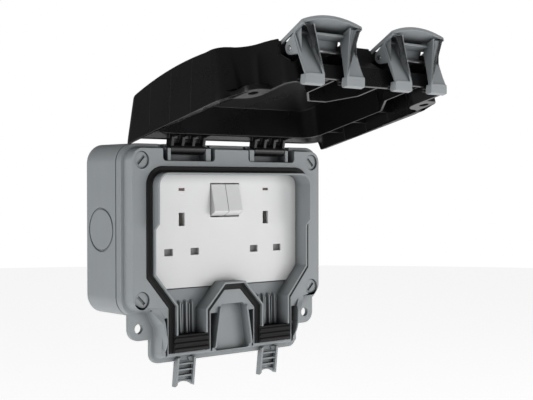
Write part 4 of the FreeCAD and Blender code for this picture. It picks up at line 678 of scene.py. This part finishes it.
# %% Row of copies
def make_row_tree():
    tree = bpy.data.node_groups.new("row_of_copies", "GeometryNodeTree")
    face = tree.interface
    face.new_socket("Shape", in_out="INPUT", socket_type="NodeSocketGeometry")
    face.new_socket("Count", in_out="INPUT", socket_type="NodeSocketInt")
    face.new_socket("Step", in_out="INPUT", socket_type="NodeSocketVector")
    face.new_socket("Finish", in_out="INPUT", socket_type="NodeSocketMaterial")
    face.new_socket("Row", in_out="OUTPUT", socket_type="NodeSocketGeometry")
    given = tree.nodes.new("NodeGroupInput")
    line = tree.nodes.new("GeometryNodeMeshLine")
    copies = tree.nodes.new("GeometryNodeInstanceOnPoints")
    real = tree.nodes.new("GeometryNodeRealizeInstances")
    paint = tree.nodes.new("GeometryNodeSetMaterial")
    result = tree.nodes.new("NodeGroupOutput")
    for start, end in ((given.outputs["Count"], line.inputs["Count"]),
                       (given.outputs["Step"], line.inputs["Offset"]),
                       (line.outputs["Mesh"], copies.inputs["Points"]),
                       (given.outputs["Shape"], copies.inputs["Instance"]),
                       (copies.outputs["Instances"], real.inputs["Geometry"]),
                       (real.outputs["Geometry"], paint.inputs["Geometry"]),
                       (given.outputs["Finish"], paint.inputs["Material"]),
                       (paint.outputs["Geometry"], result.inputs["Row"])):
        tree.links.new(start, end)
    return tree


ROW_TREE = make_row_tree()
print("row tree nodes:", len(ROW_TREE.nodes))


def set_inputs(modifier, **values):
    """Give a Geometry Nodes modifier its inputs, each by the identifier of its socket."""
    for item in modifier.node_group.interface.items_tree:
        if item.in_out == "INPUT" and item.name in values:
            modifier[item.identifier] = values[item.name]


def add_row(name, slot, body, width, draw, count, step):
    """A drawn shape and its copies in a row, a step of (across, out, up) millimetres apart."""
    piece = add_to_scene(bpy.data.objects.new(name, drawn_mesh(name, draw)))
    round_edges(piece, width * MM)
    row = piece.modifiers.new("row", "NODES")
    row.node_group = ROW_TREE
    set_inputs(row, Count=count, Step=place(*step), Finish=FINISHES[slot])
    baked(piece)
    finish_piece(piece, slot, body)

# %% [markdown]
# Each channel has a floor with four upright ribs, which keep a cable from sliding sideways. Below them sits
# the gland, a soft black block that lies over the channel's lips, with three rounded lips across its front.

# %% Channel ribs and gland fronts
RIB_SPACING = 5.2
RIB_WIDTH = 1.8
RIB_TAPER = 0.3
RIB_FOOT = 37.9
GLAND_HALF_WIDTH = 14.3
LIP_HALF_WIDTH = 14.1
LIP_ROOT = 48.2
LIP_MIDDLE = 48.6
LIP_DEPTH = 1.9
LIP_HEIGHT = 1.25
LIP_SPACING = 3.55
TOP_LIP = -73.3


def channel_rib(centre):
    """The leftmost rib of a channel: it tapers to its crest and rises a little towards the gland."""
    left = centre - 1.5 * RIB_SPACING - RIB_WIDTH / 2
    right = left + RIB_WIDTH

    def draw(shape):
        prism(shape, *([(left, RIB_FOOT, low), (right, RIB_FOOT, low),
                        (right - RIB_TAPER, crest, high), (left + RIB_TAPER, crest, high)]
                       for low, crest, high in ((-48.6, 40.6, -50.2), (-71.2, 41.2, -71.2))))
    return draw


def gland_front(centre):
    return lambda shape: slab(shape, centre - GLAND_HALF_WIDTH, centre + GLAND_HALF_WIDTH,
                              [(46.9, -71.2), (48.9, -70.9), (49.3, -71.5),
                               (49.3, -82.0), (48.9, -82.6), (46.9, -82.4)])


def gland_lip(centre):
    """Half an oval across the gland, on a short root."""
    def draw(shape):
        oval = [(LIP_MIDDLE + LIP_DEPTH * math.cos(turn), TOP_LIP + LIP_HEIGHT * math.sin(turn))
                for turn in (math.radians(15 * step) for step in range(-6, 7))]
        outline = [(LIP_ROOT, TOP_LIP - LIP_HEIGHT)] + oval + [(LIP_ROOT, TOP_LIP + LIP_HEIGHT)]
        slab(shape, centre - LIP_HALF_WIDTH, centre + LIP_HALF_WIDTH, outline)
    return draw


for side, centre in CHANNEL_CENTRES.items():
    add_row("channel_ribs_" + side, "grey_box", "housing", 0.3, channel_rib(centre), 4, (RIB_SPACING, 0, 0))
    add_piece("gland_front_" + side, "black_rubber", "housing", 0.35, gland_front(centre))
    add_row("gland_lips_" + side, "black_rubber", "housing", 0.15, gland_lip(centre), 3, (0, 0, -LIP_SPACING))

# %% [markdown]
# Under each gland hangs a trough for the cable, open in front. Its cross ribs stand on a deeper floor, so the
# gaps between them read as dark bands. The copy's floor is carved away between the ribs it has.

# %% Cable guides
GUIDE_HALF_WIDTH = 6.1
HOLLOW_DEPTH = 1.5


def carve_guide(centre):
    def draw(shape):
        for top, low, floor in ((-92.5, -95.2, 39.6), (-96.6, -99.3, 39.3), (-100.7, -103.2, 38.9)):
            slab(shape, centre - 5.9, centre + 5.9, [(floor, low), (45, low), (45, top), (floor, top)])
    return draw


def guide_rib(centre):
    """One cross rib, hollowed towards its middle so that it cradles a cable."""
    def draw(shape):
        hollow = [(centre + GUIDE_HALF_WIDTH * share, 43.3 - HOLLOW_DEPTH * math.sqrt(1 - share * share))
                  for share in (-1, -0.9, -0.7, -0.4, 0, 0.4, 0.7, 0.9, 1)]
        rim = [(centre - GUIDE_HALF_WIDTH, 40.2)] + hollow + [(centre + GUIDE_HALF_WIDTH, 40.2)]
        prism(shape, *([(across, out, up) for across, out in rim] for up in (-92.4, -91.2)))
    return draw


for side, centre in CHANNEL_CENTRES.items():
    soften("cable_guide_" + side, 0.25, carve_guide(centre))
    add_row("guide_ribs_" + side, "grey_box", "housing", 0.2, guide_rib(centre), 3, (0, -0.6, -4.1))

# %% [markdown]
# A latch is a broad finger plate on two legs. Each leg is a hollow: a low rim outside, a floor that slopes up
# to the plate, and a tall fin inside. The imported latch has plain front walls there, so its copy is opened
# first and the floors, fins, feet and the web between the legs are drawn as one more piece. Both ride on the
# latch.

# %% Latches
LEG_FLOOR = ((187.2, 92.6), (185.7, 92.6), (176.0, 117.2), (177.5, 117.6))
LEG_FIN = ((187.7, 92.4), (185.2, 92.4), (175.8, 117.4), (184.8, 121.8))


def carve_latch(centre):
    def draw(shape):
        for turn in (-1, 1):
            tile(shape, 182.4, 190, [(centre + turn * across, up) for across, up in
                                     ((22.4, 93.2), (10.9, 93.2), (15.9, 120.3), (22.4, 120.3))])
            left, right = sorted((centre + turn * 22.2, centre + turn * 25))
            slab(shape, left, right, [(190, 93.0), (187.2, 93.0), (181.6, 104.4), (177.6, 114.6),
                                      (178.4, 116.8), (184.7, 121.0), (190, 121.0)])
        slab(shape, centre - 26, centre + 26, [(170, 80), (192, 80), (192, 86.9), (170, 86.9)])
    return draw


def leaning(middle, across, outline):
    """An outline of (out, up) points, each at its own distance across from the latch's middle."""
    return [(middle + distance, *point) for distance, point in zip(across, outline)]


def draw_legs(centre):
    def draw(shape):
        for turn in (-1, 1):
            for outline, one_side, other_side in (
                    (LEG_FLOOR, (23.4, 23.4, 23.4, 23.4), (9.8, 9.8, 14.6, 14.6)),
                    (LEG_FIN, (9.0, 9.0, 14.2, 14.2), (10.4, 10.4, 15.6, 15.6))):
                prism(shape, *(leaning(centre, [turn * across for across in side], outline)
                               for side in (one_side, other_side)))
            left, right = sorted((centre + turn * 8.9, centre + turn * 24.1))
            slab(shape, left, right, [(183.0, 88.6), (183.6, 92.3), (187.5, 92.6), (187.8, 92.0),
                                      (187.8, 87.3), (184.6, 86.3), (183.2, 86.9)])
        slab(shape, centre - 16.6, centre + 16.6,
             [(170.2, 109.0), (171.7, 108.8), (173.4, 118.9), (171.6, 118.6)])
    return draw


for side, centre in CHANNEL_CENTRES.items():
    soften("latch_" + side, 0.3, carve_latch(centre))
    add_piece("latch_legs_" + side, "grey_box", "latch_" + side, 0.3, draw_legs(centre))

# %% [markdown]
# The two rockers are switched off: their upper ends are level with the plate and their lower ends stand
# almost 5 mm proud. A rocker is a wedge in the side view, so one outline gives its shape, and a second one
# its hidden lug.

# %% Rockers
def draw_rocker(left, right):
    def draw(shape):
        slab(shape, left, right, [(36.5, 7.9), (38.6, 7.9), (43.4, 10.6),
                                  (43.8, 11.4), (39.5, 30.1), (36.5, 30.1)])
        middle = (left + right) / 2
        slab(shape, middle - 3.5, middle + 3.5, [(32.2, 17.8), (32.2, 20.2), (37.4, 22.4), (37.4, 15.6)])
    return draw


for side, left, right in (("left", -12.6, -0.15), ("right", 0.15, 12.6)):
    add_piece("rocker_face_" + side, "white_plate", "rocker_" + side, 0.35, draw_rocker(left, right),
              ["rocker_" + side])

# %% [markdown]
# A spring pushes each shutter up again when the plug is pulled. A coil follows a rule, so Geometry Nodes draw
# it: a Spiral curve gives the path and Curve to Mesh gives the wire its thickness. It shortens as the shutter
# goes down, with its lower end at rest.

# %% Shutter springs
def make_coil_tree():
    tree = bpy.data.node_groups.new("coil_spring", "GeometryNodeTree")
    face = tree.interface
    for name, kind in (("Turns", "Float"), ("Radius", "Float"), ("Height", "Float"), ("Wire", "Float"),
                       ("Foot", "Vector"), ("Finish", "Material")):
        face.new_socket(name, in_out="INPUT", socket_type="NodeSocket" + kind)
    face.new_socket("Coil", in_out="OUTPUT", socket_type="NodeSocketGeometry")
    given = tree.nodes.new("NodeGroupInput")
    path = tree.nodes.new("GeometryNodeCurveSpiral")
    path.inputs["Resolution"].default_value = 20
    section = tree.nodes.new("GeometryNodeCurvePrimitiveCircle")
    section.inputs["Resolution"].default_value = 8
    wire = tree.nodes.new("GeometryNodeCurveToMesh")
    wire.inputs["Fill Caps"].default_value = True
    move = tree.nodes.new("GeometryNodeTransform")
    real = tree.nodes.new("GeometryNodeRealizeInstances")
    paint = tree.nodes.new("GeometryNodeSetMaterial")
    result = tree.nodes.new("NodeGroupOutput")
    for start, end in ((given.outputs["Turns"], path.inputs["Rotations"]),
                       (given.outputs["Radius"], path.inputs["Start Radius"]),
                       (given.outputs["Radius"], path.inputs["End Radius"]),
                       (given.outputs["Height"], path.inputs["Height"]),
                       (given.outputs["Wire"], section.inputs["Radius"]),
                       (path.outputs["Curve"], wire.inputs["Curve"]),
                       (section.outputs["Curve"], wire.inputs["Profile Curve"]),
                       (wire.outputs["Mesh"], move.inputs["Geometry"]),
                       (given.outputs["Foot"], move.inputs["Translation"]),
                       (move.outputs["Geometry"], real.inputs["Geometry"]),
                       (real.outputs["Geometry"], paint.inputs["Geometry"]),
                       (given.outputs["Finish"], paint.inputs["Material"]),
                       (paint.outputs["Geometry"], result.inputs["Coil"])):
        tree.links.new(start, end)
    return tree


COIL_TREE = make_coil_tree()
WIRE_RADIUS = 0.2 * MM
COIL_TURNS = 9.0
for side in ("left", "right"):
    node = "shutter_spring_" + side
    low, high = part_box(node)
    foot = Vector(((low[0] + high[0]) / 2, (low[1] + high[1]) / 2, low[2] + WIRE_RADIUS))
    piece = add_to_scene(bpy.data.objects.new("coil_spring_" + side, bpy.data.meshes.new("coil")))
    coil = piece.modifiers.new("coil", "NODES")
    coil.node_group = COIL_TREE
    set_inputs(coil, Turns=COIL_TURNS, Radius=(high[0] - low[0]) / 2 - WIRE_RADIUS,
               Height=high[2] - low[2] - 2 * WIRE_RADIUS,
               Wire=WIRE_RADIUS, Foot=foot, Finish=FINISHES["steel"])
    baked(piece)
    finish_piece(piece, "steel", BODY_OF[node], [node])
    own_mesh(piece)

# %% [markdown]
# What is left are nodes that no copy stands for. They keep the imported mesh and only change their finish.

# %% Finishes of the remaining nodes
for item in NODES.values():
    slot = item.data.materials[0].name
    if slot in FINISHES:
        item.material_slots[0].material = FINISHES[slot]
print("nodes with a finish:", len(NODES))
